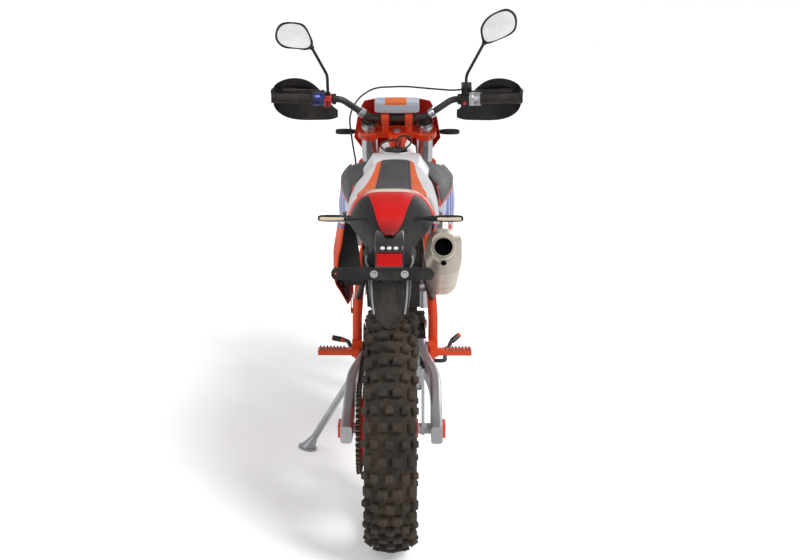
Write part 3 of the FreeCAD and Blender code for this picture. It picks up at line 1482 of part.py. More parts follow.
def bar_controls():
    solids = []
    for side in (-1, 1):
        perch = bar_ring(side, perch_at, perch_length, perch_radius)
        at, heading = bar_place(side, perch_at + perch_length / 2)
        boss = rod(at + Vector(0, bar_end_radius + overrun, 0), at + Vector(side * perch_length, lever_reach, 0), lever_radius * 1.7)
        lever = bent_tube([at + Vector(side * perch_length / 2, lever_reach * 0.8, 0), at + Vector(side * perch_length * 2, lever_reach * 1.2, 0),
                           lever_tip(side)], lever_radius, bar_bend_radius)
        foot = at + Vector(0, 0, perch_radius - overrun)
        seat_post = Part.makeCylinder(mirror_ball_radius, perch_radius / 2, foot)
        housing = bar_ring(side, bar_half_width - grip_length - running_gap - housing_length, housing_length, housing_radius)
        pieces = [perch, boss, lever, seat_post]
        solids.append(joined(pieces).cut(bar_bore(side)))
        solids.append(housing.cut(bar_bore(side)).cut(joined([boss, lever, perch])))
        if side > 0:
            corner = at + Vector(-reservoir_size * 0.4, lever_reach * 0.7, -reservoir_tall * 0.12)
            reservoir = Part.makeBox(reservoir_size, reservoir_size, reservoir_tall, corner)
            solids[-2] = joined([solids[-2], reservoir])
    return steered(Part.makeCompound([biggest(solid) for solid in solids]))


def handguards():
    solids = []
    for side in (-1, 1):
        end = bar_points(side)[3]
        heading = (end - bar_points(side)[2]).normalize()
        ring_at, ring_heading = bar_place(side, guard_ring_at + guard_ring_length / 2)
        knob = Part.makeCylinder(grip_radius, guard_bar_radius * 2, end + heading * running_gap, heading)
        start = end + heading * (running_gap + guard_bar_radius)
        front = end.y + guard_reach
        low = ring_at.z - bar_end_radius - guard_ring_wall / 2
        points = [start, start + Vector(side * guard_bar_radius, guard_reach * 0.55, 0)]
        points.append(Vector(side * (bar_half_width - guard_bar_radius), front, end.z - guard_drop))
        points.append(Vector(side * (bar_bend_at + guard_reach), front, low))
        points.append(Vector(ring_at.x, ring_at.y + guard_reach * 0.4, low))
        points.append(Vector(ring_at.x, ring_at.y, low))
        bar = bent_tube(points, guard_bar_radius, guard_reach / 3)
        ring = Part.makeCylinder(bar_end_radius + guard_ring_wall, guard_ring_length, ring_at - ring_heading * guard_ring_length / 2, ring_heading)
        shield = guard_shield(side, end.z)
        solids.append(joined([knob, bar, ring, shield]).cut(bar_bore(side)))
    return steered(Part.makeCompound([biggest(solid) for solid in solids]))


shield_station_shares = ((1.037, 0.60, -0.03, -0.33), (0.97, 0.93, 0.11, -0.71), (0.864, 1.06, 0.145, -0.848),
                         (0.741, 1.06, 0.073, -0.867), (0.617, 1.00, -0.248, -0.855), (0.504, 0.90, -0.60, -0.77))


def guard_shield(side, bar_up):
    """Curved hand shield on the guard bar, drawn as a band of shallow arcs from its outer to its inner end."""
    wires = []
    for across_share, reach_share, top_share, foot_share in shield_station_shares:
        x = side * across_share * bar_half_width
        y = bar_lead - bar_sweep + guard_reach * reach_share + guard_bar_radius * 0.4
        high, low = bar_up + guard_tall * top_share, bar_up + guard_tall * foot_share
        hollow = guard_wall * 3 * (top_share - foot_share)
        outer = [Vector(x, y - hollow, low), Vector(x, y + guard_wall, (low + high) / 2), Vector(x, y - hollow, high)]
        inner = [p - Vector(0, guard_wall, 0) for p in outer]
        curves = []
        for points in (outer, inner):
            curve = Part.BSplineCurve()
            curve.interpolate(points)
            curves.append(curve.toShape())
        edges = [curves[0], Part.makeLine(outer[-1], inner[-1]), curves[1], Part.makeLine(inner[0], outer[0])]
        wires.append(Part.Wire(Part.__sortEdges__(edges)))
    return skin(wires)


mirror_outline_shares = {
    -1: ((-1.06, 0.29), (-0.71, 0.74), (0, 0.80), (0.59, 0.65), (0.95, 0.06), (1.09, -0.50), (0.84, -0.77), (0.18, -0.75), (-0.71, -0.62),
         (-1.08, -0.18)),
    1: ((-1.06, 0), (-0.71, 0.53), (-0.12, 0.89), (0.47, 1.03), (0.89, 0.77), (1.03, 0.24), (0.89, -0.24), (0.36, -0.59), (-0.36, -0.89),
        (-0.86, -0.96), (-1.06, -0.47))}
mirror_corner_shares = {-1: (1.0, -0.66), 1: (-0.84, -0.90)}
mirror_back_shares = ((1.0, 0), (1.0, 0.3), (0.84, 0.72), (0.5, 1.0))


def mirror_head(side, centre):
    """A shallow shell behind a flat glass, its outline a closed curve that shrinks towards its back."""
    wires = []
    for size_share, back_share in mirror_back_shares:
        ring = []
        for across, up in mirror_outline_shares[side]:
            reach = mirror_long_radius * size_share
            ring.append(centre + Vector(across * reach, back_share * mirror_depth, up * reach))
        curve = Part.BSplineCurve()
        curve.interpolate(Points=ring, PeriodicFlag=True)
        wires.append(Part.Wire(curve.toShape()))
    return skin(wires)


def mirrors():
    solids = []
    for side, height in ((-1, mirror_left_height), (1, mirror_right_height)):
        centre = Vector(side * mirror_at, mirror_along, height)
        head = mirror_head(side, centre)
        at, heading = bar_place(side, perch_at + perch_length / 2)
        seat_at = steer_frame.multVec(at + Vector(0, 0, perch_radius * 1.5 - overrun + running_gap))
        elbow = seat_at + Vector(0, -0.02 * body_length, 0.06 * body_height)
        across, up = mirror_corner_shares[side]
        neck = centre + Vector(across * mirror_long_radius, mirror_depth * 0.6, up * mirror_long_radius)
        stem = bent_tube([seat_at, elbow, neck + Vector(0, mirror_ball_radius / 2, 0)], mirror_stem_radius, bar_bend_radius)
        ball = Part.makeSphere(mirror_ball_radius, neck)
        solids.append(biggest(joined([head, ball, stem]).cut(steered(bar_lump(side)))))
    return Part.makeCompound(solids)


def bar_lump(side):
    at, heading = bar_place(side, perch_at + perch_length / 2)
    foot = at + Vector(0, 0, perch_radius - overrun)
    return Part.makeCylinder(mirror_ball_radius + running_gap, perch_radius / 2 + running_gap, foot)


front_indicator_rows = ((0.70, 1.0, 0), (1.0, 1.45, 1))


def front_indicators(mask):
    solids = []
    up = mask_foot + 0.36 * mask_height
    along = mask_back + 0.29 * mask_reach
    for side in (-1, 1):
        pieces = []
        for inner, outer, is_lens in front_indicator_rows:
            radius = indicator_lens_radius if is_lens else indicator_stalk_radius
            near, far = sorted((side * inner * mask_half_width, side * outer * mask_half_width))
            pieces.append(Part.makeCylinder(radius, far - near, Vector(near + side * panel_wall, along, up), side_axis))
        lump = steered(joined(pieces)).cut(mask)
        solids.append(max(lump.Solids, key=lambda solid: abs(solid.CenterOfMass.x)))
    return Part.makeCompound(solids)


# Hose and cable on the bar
brake_hose_route = ((226.0, 58.0, 916.0), (190.0, 60.0, 911.0), (124.0, 118.0, 880.0), (26.0, 170.0, 858.0), (-82.0, 166.0, 855.0),
                    (-138.0, 148.0, 824.0), (-168.0, 98.0, 784.0), (-158.0, 40.0, 730.0), (-146.0, 22.0, 650.0), (-142.0, 18.0, 560.0),
                    (-131.0, 14.0, 440.0), (-131.0, 8.0, 330.0), (-126.0, -6.0, 200.0), (-92.0, -24.0, 150.0), (-58.0, -32.0, 138.0),
                    (-56.0, -34.0, 112.0))


def brake_hose(carriers):
    points = [Vector(*row) for row in brake_hose_route]
    return biggest(steered(bent_tube(points, hose_radius, bar_bend_radius * 2)).cut(carriers))


# Side stand
def side_stand():
    pivot = stand_pivot()
    foot = stand_foot()
    axis = stand_axis()
    pad = Part.makeCylinder(stand_foot_radius, stand_foot_wall, foot, ground_normal)
    flare_length = stand_foot_radius * 1.6
    leg_length = (pivot - foot).Length
    profile = [(0, 0), (stand_foot_radius * 0.8, 0), (stand_leg_radius, flare_length), (stand_leg_radius, leg_length), (0, leg_length)]
    face = Part.Face(Part.makePolygon([Vector(r, 0, z) for r, z in profile + profile[:1]]))
    leg = face.revolve(Vector(0, 0, 0), Vector(0, 0, 1), 360)
    leg.Placement = Placement(foot, Rotation(Vector(0, 0, 1), pivot - foot))
    room = Part.makeCylinder(stand_eye_radius * 2, stand_eye_wall * 3, pivot + axis * stand_eye_wall / 2, axis)
    bolt_room = Part.makeCylinder(stand_bolt_head + overrun, stand_eye_wall * 2, pivot - axis * stand_eye_wall / 2, -axis)
    ground = Part.makeCylinder(stand_foot_radius * 3, stand_foot_radius * 2, foot + ground_normal * stand_foot_wall / 2, -ground_normal)
    eye = Part.makeCylinder(stand_eye_radius, stand_eye_wall, pivot - axis * stand_eye_wall / 2, axis)
    bore = rod(pivot - axis * stand_eye_wall, pivot + axis * stand_eye_wall, stand_bolt_radius + running_gap)
    return joined([leg.cut(room).cut(bolt_room).cut(ground), pad, eye]).cut(bore)


# The whole bike, leaned on its stand
def park_placement():
    turn = Placement(Vector(0, 0, lean_lift), Rotation(Vector(0, 1, 0), -lean_deg))
    return turn


def build_all():
    shapes = {"frame": frame()}
    room = frame_room()
    shapes["subframe"] = subframe(room)
    rails = subframe_room()
    shapes["swingarm"] = swingarm()
    shapes["rear_axle"] = rear_axle()
    shapes["rear_caliper"] = rear_caliper()
    shapes["crankcase"] = crankcase(room)
    shapes["cylinder"] = cylinder(shapes["crankcase"], room)
    shapes["exhaust"] = exhaust(shapes["cylinder"], room)
    shapes["muffler"] = muffler()
    shapes["radiators"] = radiators()
    shapes["tank"] = tank(room)
    shapes["tank_cap"] = tank_cap()
    shapes["vent_hose"] = vent_hose(shapes["tank_cap"])
    shapes["seat"] = seat([room, rails, shapes["tank"]])
    shapes["shrouds"] = shrouds(shapes["tank"], room)
    shapes["airbox"] = airbox([rails, room])
    shapes["side_panel_left"] = side_panel_left([rails, shapes["airbox"]], shapes["seat"])
    shapes["side_panel_right"] = side_panel_right([rails, shapes["airbox"]], shapes["seat"])
    shapes["rear_fender"] = rear_fender([rails, shapes["seat"]])
    shapes["tail_lamp"] = tail_lamp(shapes["rear_fender"])
    shapes["plate_bracket"] = plate_bracket(shapes["rear_fender"])
    shapes["rear_indicators"] = rear_indicators(shapes["rear_fender"])
    shapes["footpegs"] = footpegs()
    shapes["brake_pedal"] = biggest(foot_control(pedal_shares).cut(room))
    shapes["shift_lever"] = foot_control(lever_shares)
    shapes["chain"] = chain()
    shapes["drive_sprocket"] = drive_sprocket()
    shapes["drive_cover"] = drive_cover()
    shapes["shock"] = shock([room, arm_bridge()])
    shapes["stand_strap"] = stand_strap()
    shapes["triple_clamps"] = triple_clamps()
    shapes["fork_tubes"] = fork_tubes()
    shapes["fork_legs"] = fork_legs()
    shapes["front_axle"] = front_axle()
    shapes["front_caliper"] = front_caliper()
    shapes["front_fender"] = front_fender()
    shapes["headlight_mask"] = headlight_mask()
    shapes["headlight"] = headlight()
    shapes["front_indicators"] = front_indicators(shapes["headlight_mask"])
    shapes["handlebar"] = handlebar()
    shapes["grips"] = grips()
    shapes["bar_pad"] = bar_pad()
    shapes["bar_controls"] = bar_controls()
    shapes["handguards"] = handguards()
    shapes["mirrors"] = mirrors()
    shapes["brake_hose"] = brake_hose([shapes["bar_controls"], shapes["front_caliper"]])
    shapes["rear_tyre"] = tyre(rear_tyre_radius, rear_tyre_half_width, rear_rim_radius, rear_knob_height, rear_knob_pitches, rear_axle_at)
    shapes["rear_rim"] = rim(rear_rim_radius, rear_rim_half_width, rear_axle_at)
    shapes["rear_hub"] = hub(rear_hub_radius, rear_flange_radius, rear_flange_at, rear_hub_left, rear_hub_right, rear_rim_radius, rear_axle_at)
    shapes["rear_disc"] = brake_disc(rear_disc_radius, rear_disc_at, rear_hub_radius, rear_axle_at)
    shapes["rear_sprocket"] = rear_sprocket()
    shapes["front_tyre"] = tyre(front_tyre_radius, front_tyre_half_width, front_rim_radius, front_knob_height, front_knob_pitches, front_axle_at)
    shapes["front_rim"] = rim(front_rim_radius, front_rim_half_width, front_axle_at)
    shapes["front_hub"] = hub(front_hub_radius, front_flange_radius, front_flange_at, front_hub_left, front_hub_right, front_rim_radius,
                              front_axle_at)
    shapes["front_disc"] = brake_disc(front_disc_radius, front_disc_at, front_hub_radius, front_axle_at)
    shapes["side_stand"] = side_stand()
    return shapes


def parked(shapes):
    leaned = {}
    box = FreeCAD.BoundBox()
    for name, shape in shapes.items():
        moved = shape.copy()
        moved.Placement = park_placement().multiply(moved.Placement)
        leaned[name] = moved
        for point in moved.tessellate(bound_step)[0]:
            box.add(point)
    centre = Vector(-(box.XMin + box.XMax) / 2, -(box.YMin + box.YMax) / 2, -box.ZMin)
    for moved in leaned.values():
        moved.translate(centre)
    return leaned, centre


def main():
    os.makedirs("parts", exist_ok=True)
    leaned, centre = parked(build_all())
    for name, shape in leaned.items():
        shape.exportStep("parts/" + name + ".step")


if __name__ == "__main__":
    main()
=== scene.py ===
import json
import math

import bpy
from mathutils import Matrix, Vector

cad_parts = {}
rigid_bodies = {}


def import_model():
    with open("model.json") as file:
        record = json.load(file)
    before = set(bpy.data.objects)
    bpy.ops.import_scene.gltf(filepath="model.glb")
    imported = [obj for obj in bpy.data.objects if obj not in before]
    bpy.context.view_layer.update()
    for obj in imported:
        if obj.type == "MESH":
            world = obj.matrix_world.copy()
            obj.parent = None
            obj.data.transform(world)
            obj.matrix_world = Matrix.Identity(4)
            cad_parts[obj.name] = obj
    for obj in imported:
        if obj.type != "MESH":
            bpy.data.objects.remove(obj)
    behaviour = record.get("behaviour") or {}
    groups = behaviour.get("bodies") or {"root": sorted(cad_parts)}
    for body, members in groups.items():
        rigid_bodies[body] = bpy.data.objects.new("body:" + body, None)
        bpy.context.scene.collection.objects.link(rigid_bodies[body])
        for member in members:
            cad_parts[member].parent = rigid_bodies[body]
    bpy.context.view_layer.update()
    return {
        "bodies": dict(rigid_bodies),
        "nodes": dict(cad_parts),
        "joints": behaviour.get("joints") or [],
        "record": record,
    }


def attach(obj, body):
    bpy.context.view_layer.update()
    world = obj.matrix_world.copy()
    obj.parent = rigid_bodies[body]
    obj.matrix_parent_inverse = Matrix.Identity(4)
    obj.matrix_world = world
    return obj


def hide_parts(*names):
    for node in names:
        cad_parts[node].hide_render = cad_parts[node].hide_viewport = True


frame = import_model()
nodes = frame["nodes"]

# The bike is modelled upright, rear contact below the origin, and each finished piece is leaned onto its stand.
joints = {joint["name"]: joint for joint in frame["joints"]}
rearAxis = Vector(joints["rear_wheel_turn"]["axis"])
rearPlace = Vector(joints["rear_wheel_turn"]["pos_m"])
bike = {"rearAxle": (0, 0, 0.340), "frontAxle": (0, 1.482, 0.350), "rakeDeg": 26.5, "axleOffset": 0.055}
leanAngle = math.atan2(rearAxis.z, rearAxis.x)
leanTurn = Matrix.Rotation(-leanAngle, 4, "Y")
park = Matrix.Translation(rearPlace - (leanTurn @ Vector(bike["rearAxle"]))) @ leanTurn
rakeTurn = Matrix.Rotation(math.radians(bike["rakeDeg"]), 4, "X")
leadAxis = rakeTurn.to_3x3() @ Vector((0, 1, 0))
steer = Matrix.Translation(Vector(bike["frontAxle"]) - leadAxis * bike["axleOffset"]) @ rakeTurn
rearWheel = Matrix.Translation(bike["rearAxle"])
frontWheel = Matrix.Translation(bike["frontAxle"])


# Camera at the photograph's place beside the upright bike, leaned with it
view = {"place": (0.06578, -3.71044, 1.64096), "yaw": -0.011655, "pitch": -0.232374, "focal": 1409.17,
        "width": 800}


def addCamera():
    yaw, pitch = view["yaw"], view["pitch"]
    ahead = Vector((math.sin(yaw) * math.cos(pitch), math.cos(yaw) * math.cos(pitch), math.sin(pitch)))
    right = Vector((math.cos(yaw), -math.sin(yaw), 0))
    above = right.cross(ahead)
    turn = Matrix((right, above, -ahead)).transposed().to_4x4()
    data = bpy.data.cameras.new("photoCamera")
    data.sensor_width = 36
    data.lens = view["focal"] / view["width"] * data.sensor_width
    data.clip_end = 200
    camera = bpy.data.objects.new("photoCamera", data)
    bpy.context.scene.collection.objects.link(camera)
    camera.matrix_world = park @ Matrix.Translation(view["place"]) @ turn
    bpy.context.scene.camera = camera


addCamera()


# Making and finishing pieces
def deselect():
    if bpy.context.object and bpy.context.object.mode != "OBJECT":
        bpy.ops.object.mode_set(mode="OBJECT")
    bpy.ops.object.select_all(action="DESELECT")


def take(piece):
    deselect()
    piece.select_set(True)
    bpy.context.view_layer.objects.active = piece
    return piece


def inEdit(piece, selectMode="FACE"):
    take(piece)
    bpy.ops.object.mode_set(mode="EDIT")
    bpy.ops.mesh.select_mode(type=selectMode)


def outOfEdit():
    bpy.ops.object.mode_set(mode="OBJECT")


def cleaned(piece, doubles=0.00002):
    inEdit(piece, "VERT")
    bpy.ops.mesh.select_all(action="SELECT")
    bpy.ops.mesh.remove_doubles(threshold=doubles)
    bpy.ops.mesh.normals_make_consistent(inside=False)
    outOfEdit()
    return piece


def modify(piece, kind, **settings):
    take(piece)
    modifier = piece.modifiers.new(kind, kind)
    for key, value in settings.items():
        setattr(modifier, key, value)
    bpy.ops.object.modifier_apply(modifier=modifier.name)
    return piece


def rounded(piece, width, segments=2, angle=35):
    return modify(piece, "BEVEL", width=width, segments=segments, limit_method="ANGLE",
                  angle_limit=math.radians(angle))


def smoothed(piece, levels=2):
    return modify(piece, "SUBSURF", levels=levels, render_levels=levels)


def walled(piece, thickness, offset=-1.0):
    return modify(piece, "SOLIDIFY", thickness=thickness, offset=offset, use_even_offset=True)


def shaded(piece, angle=35):
    take(piece)
    bpy.ops.object.shade_smooth_by_angle(angle=math.radians(angle))
    return piece


def moved(piece, matrix):
    piece.data.transform(matrix)
    if matrix.determinant() < 0:
        piece.data.flip_normals()
    return piece


def sheetFrom(name, rows, ring=False):
    deselect()
    down, across = len(rows), len(rows[0])
    bpy.ops.mesh.primitive_grid_add(x_subdivisions=across - 1, y_subdivisions=down - 1, size=1)
    piece = bpy.context.object
    piece.name = name
    for i, vertex in enumerate(piece.data.vertices):
        vertex.co = Vector(rows[i // across][i % across])
    if ring:
        cleaned(piece)
    return piece


def closedLoft(name, rings):
    rows = [list(ring) + [ring[0]] for ring in rings]
    piece = sheetFrom(name, rows, ring=True)
    inEdit(piece, "EDGE")
    bpy.ops.mesh.select_all(action="DESELECT")
    bpy.ops.mesh.select_non_manifold()
    bpy.ops.mesh.fill_holes(sides=0)
    bpy.ops.mesh.select_all(action="SELECT")
    bpy.ops.mesh.normals_make_consistent(inside=False)
    outOfEdit()
    return piece


def blockAt(name, low, high, bevel=0.002, segments=2):
    deselect()
    low, high = Vector(low), Vector(high)
    bpy.ops.mesh.primitive_cube_add(size=1, location=(low + high) / 2)
    piece = bpy.context.object
    piece.name = name
    piece.scale = high - low
    bpy.ops.object.transform_apply(location=True, rotation=True, scale=True)
    if bevel:
        rounded(piece, bevel, segments)
    return piece


def latheAt(name, profile, start, heading, steps=32, angle=40):
    deselect()
    count = len(profile)
    bpy.ops.mesh.primitive_circle_add(vertices=count, fill_type="NOTHING", radius=1)
    piece = bpy.context.object
    piece.name = name
    for vertex, (along, radius) in zip(piece.data.vertices, profile):
        vertex.co = Vector((radius, 0, along))
    inEdit(piece, "VERT")
    bpy.ops.mesh.select_all(action="SELECT")
    bpy.ops.mesh.spin(steps=steps, angle=math.tau, center=(0, 0, 0), axis=(0, 0, 1))
    outOfEdit()
    cleaned(piece, 0.00001)
    turn = Vector(heading).normalized().to_track_quat("Z", "Y").to_matrix().to_4x4()
    moved(piece, Matrix.Translation(start) @ turn)
    return shaded(piece, angle)


def rodAt(name, start, end, radius, bevel=0.0, steps=24):
    start, end = Vector(start), Vector(end)
    length = (end - start).length
    edge = min(bevel, radius * 0.6, length * 0.45)
    profile = [(0, 0), (0, radius - edge), (edge, radius), (length - edge, radius), (length, radius - edge),
               (length, 0)]
    return latheAt(name, profile, start, end - start, steps)


def smoothLine(points, order=4, steps=12):
    curve = bpy.data.curves.new("line", "CURVE")
    curve.dimensions = "3D"
    spline = curve.splines.new("NURBS")
    spline.points.add(len(points) - 1)
    for target, point in zip(spline.points, points):
        target.co = (*point, 1)
    spline.order_u = order
    spline.use_endpoint_u = True
    spline.resolution_u = steps
    holder = bpy.data.objects.new("line", curve)
    mesh = bpy.data.meshes.new_from_object(holder)
    line = [vertex.co.copy() for vertex in mesh.vertices]
    bpy.data.meshes.remove(mesh)
    bpy.data.objects.remove(holder)
    bpy.data.curves.remove(curve)
    return line


def tubeAlong(name, points, radius, sides=14, order=4, steps=8, flat=1.0, radii=None):
    line = smoothLine(points, order, steps)
    rings = []
    side = None
    for i, place in enumerate(line):
        ahead = (line[min(i + 1, len(line) - 1)] - line[max(i - 1, 0)]).normalized()
        if side is None:
            side = ahead.orthogonal().normalized()
        side = (side - ahead * side.dot(ahead)).normalized()
        other = ahead.cross(side)
        share = i / (len(line) - 1)
        size = radius if radii is None else radii(share)
        rings.append([place + side * size * math.cos(math.tau * k / sides) + other * size * flat
                      * math.sin(math.tau * k / sides) for k in range(sides)])
    return shaded(closedLoft(name, rings), 50)


def joinedUp(name, pieces):
    deselect()
    for piece in pieces:
        piece.select_set(True)
    bpy.context.view_layer.objects.active = pieces[0]
    if len(pieces) > 1:
        bpy.ops.object.join()
    whole = bpy.context.object
    whole.name = name
    return whole


def copied(piece, matrix):
    twin = piece.copy()
    twin.data = piece.data.copy()
    bpy.context.scene.collection.objects.link(twin)
    return moved(twin, matrix)


def finished(piece, body, finish, replaces=(), frameOf=None):
    moved(piece, park @ frameOf if frameOf else park)
    piece.data.materials.clear()
    piece.data.materials.append(finishes[finish])
    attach(piece, body)
    if replaces:
        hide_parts(*replaces)
    return piece


print("helpers ready")


# Shared effects as node groups
def newGroup(name, inputs, outputs):
    group = bpy.data.node_groups.new(name, "ShaderNodeTree")
    for label, kind, value in inputs:
        socket = group.interface.new_socket(label, in_out="INPUT", socket_type=kind)
        if value is not None:
            socket.default_value = value
    for label, kind in outputs:
        group.interface.new_socket(label, in_out="OUTPUT", socket_type=kind)
    return group, group.nodes.new("NodeGroupInput"), group.nodes.new("NodeGroupOutput")


def mathNode(tree, operation, first, second=None, third=None, clamp=False):
    node = tree.nodes.new("ShaderNodeMath")
    node.operation = operation
    node.use_clamp = clamp
    for socket, value in zip(node.inputs, (first, second, third)):
        if value is None:
            continue
        if isinstance(value, (int, float)):
            socket.default_value = value
        else:
            tree.links.new(value, socket)
    return node.outputs[0]


def rampNode(tree, factor, low, high, fromValue=0.0, toValue=1.0):
    node = tree.nodes.new("ShaderNodeMapRange")
    node.interpolation_type = "SMOOTHSTEP"
    tree.links.new(factor, node.inputs["Value"])
    for label, value in (("From Min", low), ("From Max", high), ("To Min", fromValue), ("To Max", toValue)):
        if isinstance(value, (int, float)):
            node.inputs[label].default_value = value
        else:
            tree.links.new(value, node.inputs[label])
    return node.outputs[0]


def mixColour(tree, factor, first, second):
    node = tree.nodes.new("ShaderNodeMix")
    node.data_type = "RGBA"
    for socket, value in ((node.inputs[0], factor), (node.inputs[6], first), (node.inputs[7], second)):
        if isinstance(value, (int, float)):
            socket.default_value = value
        elif isinstance(value, (tuple, list)):
            socket.default_value = (*value[:3], 1)
        else:
            tree.links.new(value, socket)
    return node.outputs[2]


def noiseNode(tree, vector, scale, detail=4.0, rough=0.55):
    node = tree.nodes.new("ShaderNodeTexNoise")
    node.inputs["Scale"].default_value = scale
    node.inputs["Detail"].default_value = detail
    node.inputs["Roughness"].default_value = rough
    tree.links.new(vector, node.inputs["Vector"])
    return node.outputs["Fac"]


def scuffGroup():
    group, inside, outside = newGroup("scuffedSurface", [("Vector", "NodeSocketVector", None),
                                                         ("Amount", "NodeSocketFloat", 0.4)],
                                      [("Mask", "NodeSocketFloat"), ("Height", "NodeSocketFloat")])
    stretch = group.nodes.new("ShaderNodeMapping")
    stretch.inputs["Scale"].default_value = (9, 60, 40)
    group.links.new(inside.outputs["Vector"], stretch.inputs["Vector"])
    streaks = noiseNode(group, stretch.outputs[0], 3.0, 6.0, 0.7)
    blotches = noiseNode(group, inside.outputs["Vector"], 22.0, 5.0, 0.6)
    mixed = mathNode(group, "MULTIPLY", rampNode(group, streaks, 0.55, 0.8),
                     rampNode(group, blotches, 0.42, 0.7))
    group.links.new(mathNode(group, "MULTIPLY", mixed, inside.outputs["Amount"], clamp=True),
                    outside.inputs["Mask"])
    group.links.new(mathNode(group, "ADD", streaks, blotches), outside.inputs["Height"])
    return group


def grainGroup():
    group, inside, outside = newGroup("mouldedGrain", [("Vector", "NodeSocketVector", None),
                                                       ("Scale", "NodeSocketFloat", 900.0)],
                                      [("Height", "NodeSocketFloat"), ("Mottle", "NodeSocketFloat")])
    cells = group.nodes.new("ShaderNodeTexVoronoi")
    group.links.new(inside.outputs["Vector"], cells.inputs["Vector"])
    group.links.new(inside.outputs["Scale"], cells.inputs["Scale"])
    fine = group.nodes.new("ShaderNodeTexNoise")
    fine.inputs["Scale"].default_value = 260
    group.links.new(inside.outputs["Vector"], fine.inputs["Vector"])
    group.links.new(mathNode(group, "MULTIPLY_ADD", fine.outputs["Fac"], 0.5, cells.outputs["Distance"]),
                    outside.inputs["Height"])
    group.links.new(noiseNode(group, inside.outputs["Vector"], 14.0, 3.0), outside.inputs["Mottle"])
    return group


def dustGroup():
    group, inside, outside = newGroup("dustFilm", [("Vector", "NodeSocketVector", None),
                                                   ("Amount", "NodeSocketFloat", 0.3)],
                                      [("Mask", "NodeSocketFloat")])
    cloud = noiseNode(group, inside.outputs["Vector"], 11.0, 8.0, 0.65)
    speck = noiseNode(group, inside.outputs["Vector"], 160.0, 3.0, 0.6)
    both = mathNode(group, "MULTIPLY_ADD", speck, 0.35, cloud)
    group.links.new(mathNode(group, "MULTIPLY", rampNode(group, both, 0.55, 0.95), inside.outputs["Amount"],
                             clamp=True), outside.inputs["Mask"])
    return group


def brushedGroup():
    group, inside, outside = newGroup("brushedLines", [("Vector", "NodeSocketVector", None),
                                                       ("Across", "NodeSocketFloat", 400.0)],
                                      [("Height", "NodeSocketFloat"), ("Tone", "NodeSocketFloat")])
    split = group.nodes.new("ShaderNodeSeparateXYZ")
    group.links.new(inside.outputs["Vector"], split.inputs[0])
    join = group.nodes.new("ShaderNodeCombineXYZ")
    group.links.new(mathNode(group, "MULTIPLY", split.outputs["X"], inside.outputs["Across"]), join.inputs["X"])
    group.links.new(mathNode(group, "MULTIPLY", split.outputs["Y"], 12.0), join.inputs["Y"])
    group.links.new(mathNode(group, "MULTIPLY", split.outputs["Z"], inside.outputs["Across"]), join.inputs["Z"])
    lines = noiseNode(group, join.outputs[0], 1.0, 3.0, 0.6)
    group.links.new(lines, outside.inputs["Height"])
    group.links.new(rampNode(group, lines, 0.3, 0.7), outside.inputs["Tone"])
    return group


groups = {"scuff": scuffGroup(), "grain": grainGroup(), "dust": dustGroup(), "brushed": brushedGroup()}


def uprightPoint(tree, local=None):
    place = tree.nodes.new("ShaderNodeTexCoord")
    mapping = tree.nodes.new("ShaderNodeMapping")
    back = (park @ local if local else park).inverted()
    mapping.inputs["Rotation"].default_value = back.to_euler("XYZ")
    mapping.inputs["Location"].default_value = back.translation
    tree.links.new(place.outputs["Object"], mapping.inputs["Vector"])
    return mapping.outputs[0]


def useGroup(tree, key, vector, **values):
    node = tree.nodes.new("ShaderNodeGroup")
    node.node_tree = groups[key]
    tree.links.new(vector, node.inputs["Vector"])
    for label, value in values.items():
        node.inputs[label].default_value = value
    return node.outputs


def bumped(tree, shader, height, strength, distance):
    bump = tree.nodes.new("ShaderNodeBump")
    bump.inputs["Strength"].default_value = strength
    bump.inputs["Distance"].default_value = distance
    tree.links.new(height, bump.inputs["Height"])
    tree.links.new(bump.outputs[0], shader.inputs["Normal"])


finishes = {}


def finishOf(name, colour, rough, metal=0.0, worn=None, wornAmount=0.35, dust=0.2,
             dustColour=(0.32, 0.27, 0.21), grain=None, grainDepth=0.0004, brushed=None, coat=0.0, sheen=0.0,
             local=None, roughSpread=0.12, pattern=None, ior=1.5):
    material = bpy.data.materials.new(name)
    material.use_nodes = True
    tree = material.node_tree
    shader = tree.nodes["Principled BSDF"]
    point = uprightPoint(tree, local)
    base = pattern(tree, point, colour) if pattern else colour
    scuffed = useGroup(tree, "scuff", point, Amount=wornAmount)
    dusted = useGroup(tree, "dust", point, Amount=dust)
    tint = mixColour(tree, scuffed["Mask"], base, worn if worn
                     else [channel * 0.6 + 0.12 for channel in colour])
    shadeNoise = noiseNode(tree, point, 7.0, 3.0)
    darker = mixColour(tree, rampNode(tree, shadeNoise, 0.3, 0.75, 0.0, 0.16), tint, (0.02, 0.02, 0.02))
    tree.links.new(mixColour(tree, dusted["Mask"], darker, dustColour), shader.inputs["Base Color"])
    spread = mathNode(tree, "MULTIPLY_ADD", scuffed["Mask"], 0.25,
                      rampNode(tree, shadeNoise, 0.25, 0.8, rough - roughSpread / 2, rough + roughSpread))
    tree.links.new(mathNode(tree, "MULTIPLY_ADD", dusted["Mask"], 0.35, spread, clamp=True),
                   shader.inputs["Roughness"])
    shader.inputs["Metallic"].default_value = metal
    shader.inputs["Coat Weight"].default_value = coat
    shader.inputs["Sheen Weight"].default_value = sheen
    shader.inputs["IOR"].default_value = ior
    if grain:
        fine = useGroup(tree, "grain", point, Scale=grain)
        bumped(tree, shader, fine["Height"], 0.5, grainDepth)
    elif brushed:
        lines = useGroup(tree, "brushed", point, Across=brushed)
        bumped(tree, shader, lines["Height"], 0.25, grainDepth)
    else:
        bumped(tree, shader, scuffed["Height"], 0.15, grainDepth)
    finishes[name] = material


print("effects ready")


def tone(red, green, blue):
    return tuple(((c / 255 + 0.055) / 1.055) ** 2.4 if c > 10 else c / 255 / 12.92 for c in (red, green, blue))


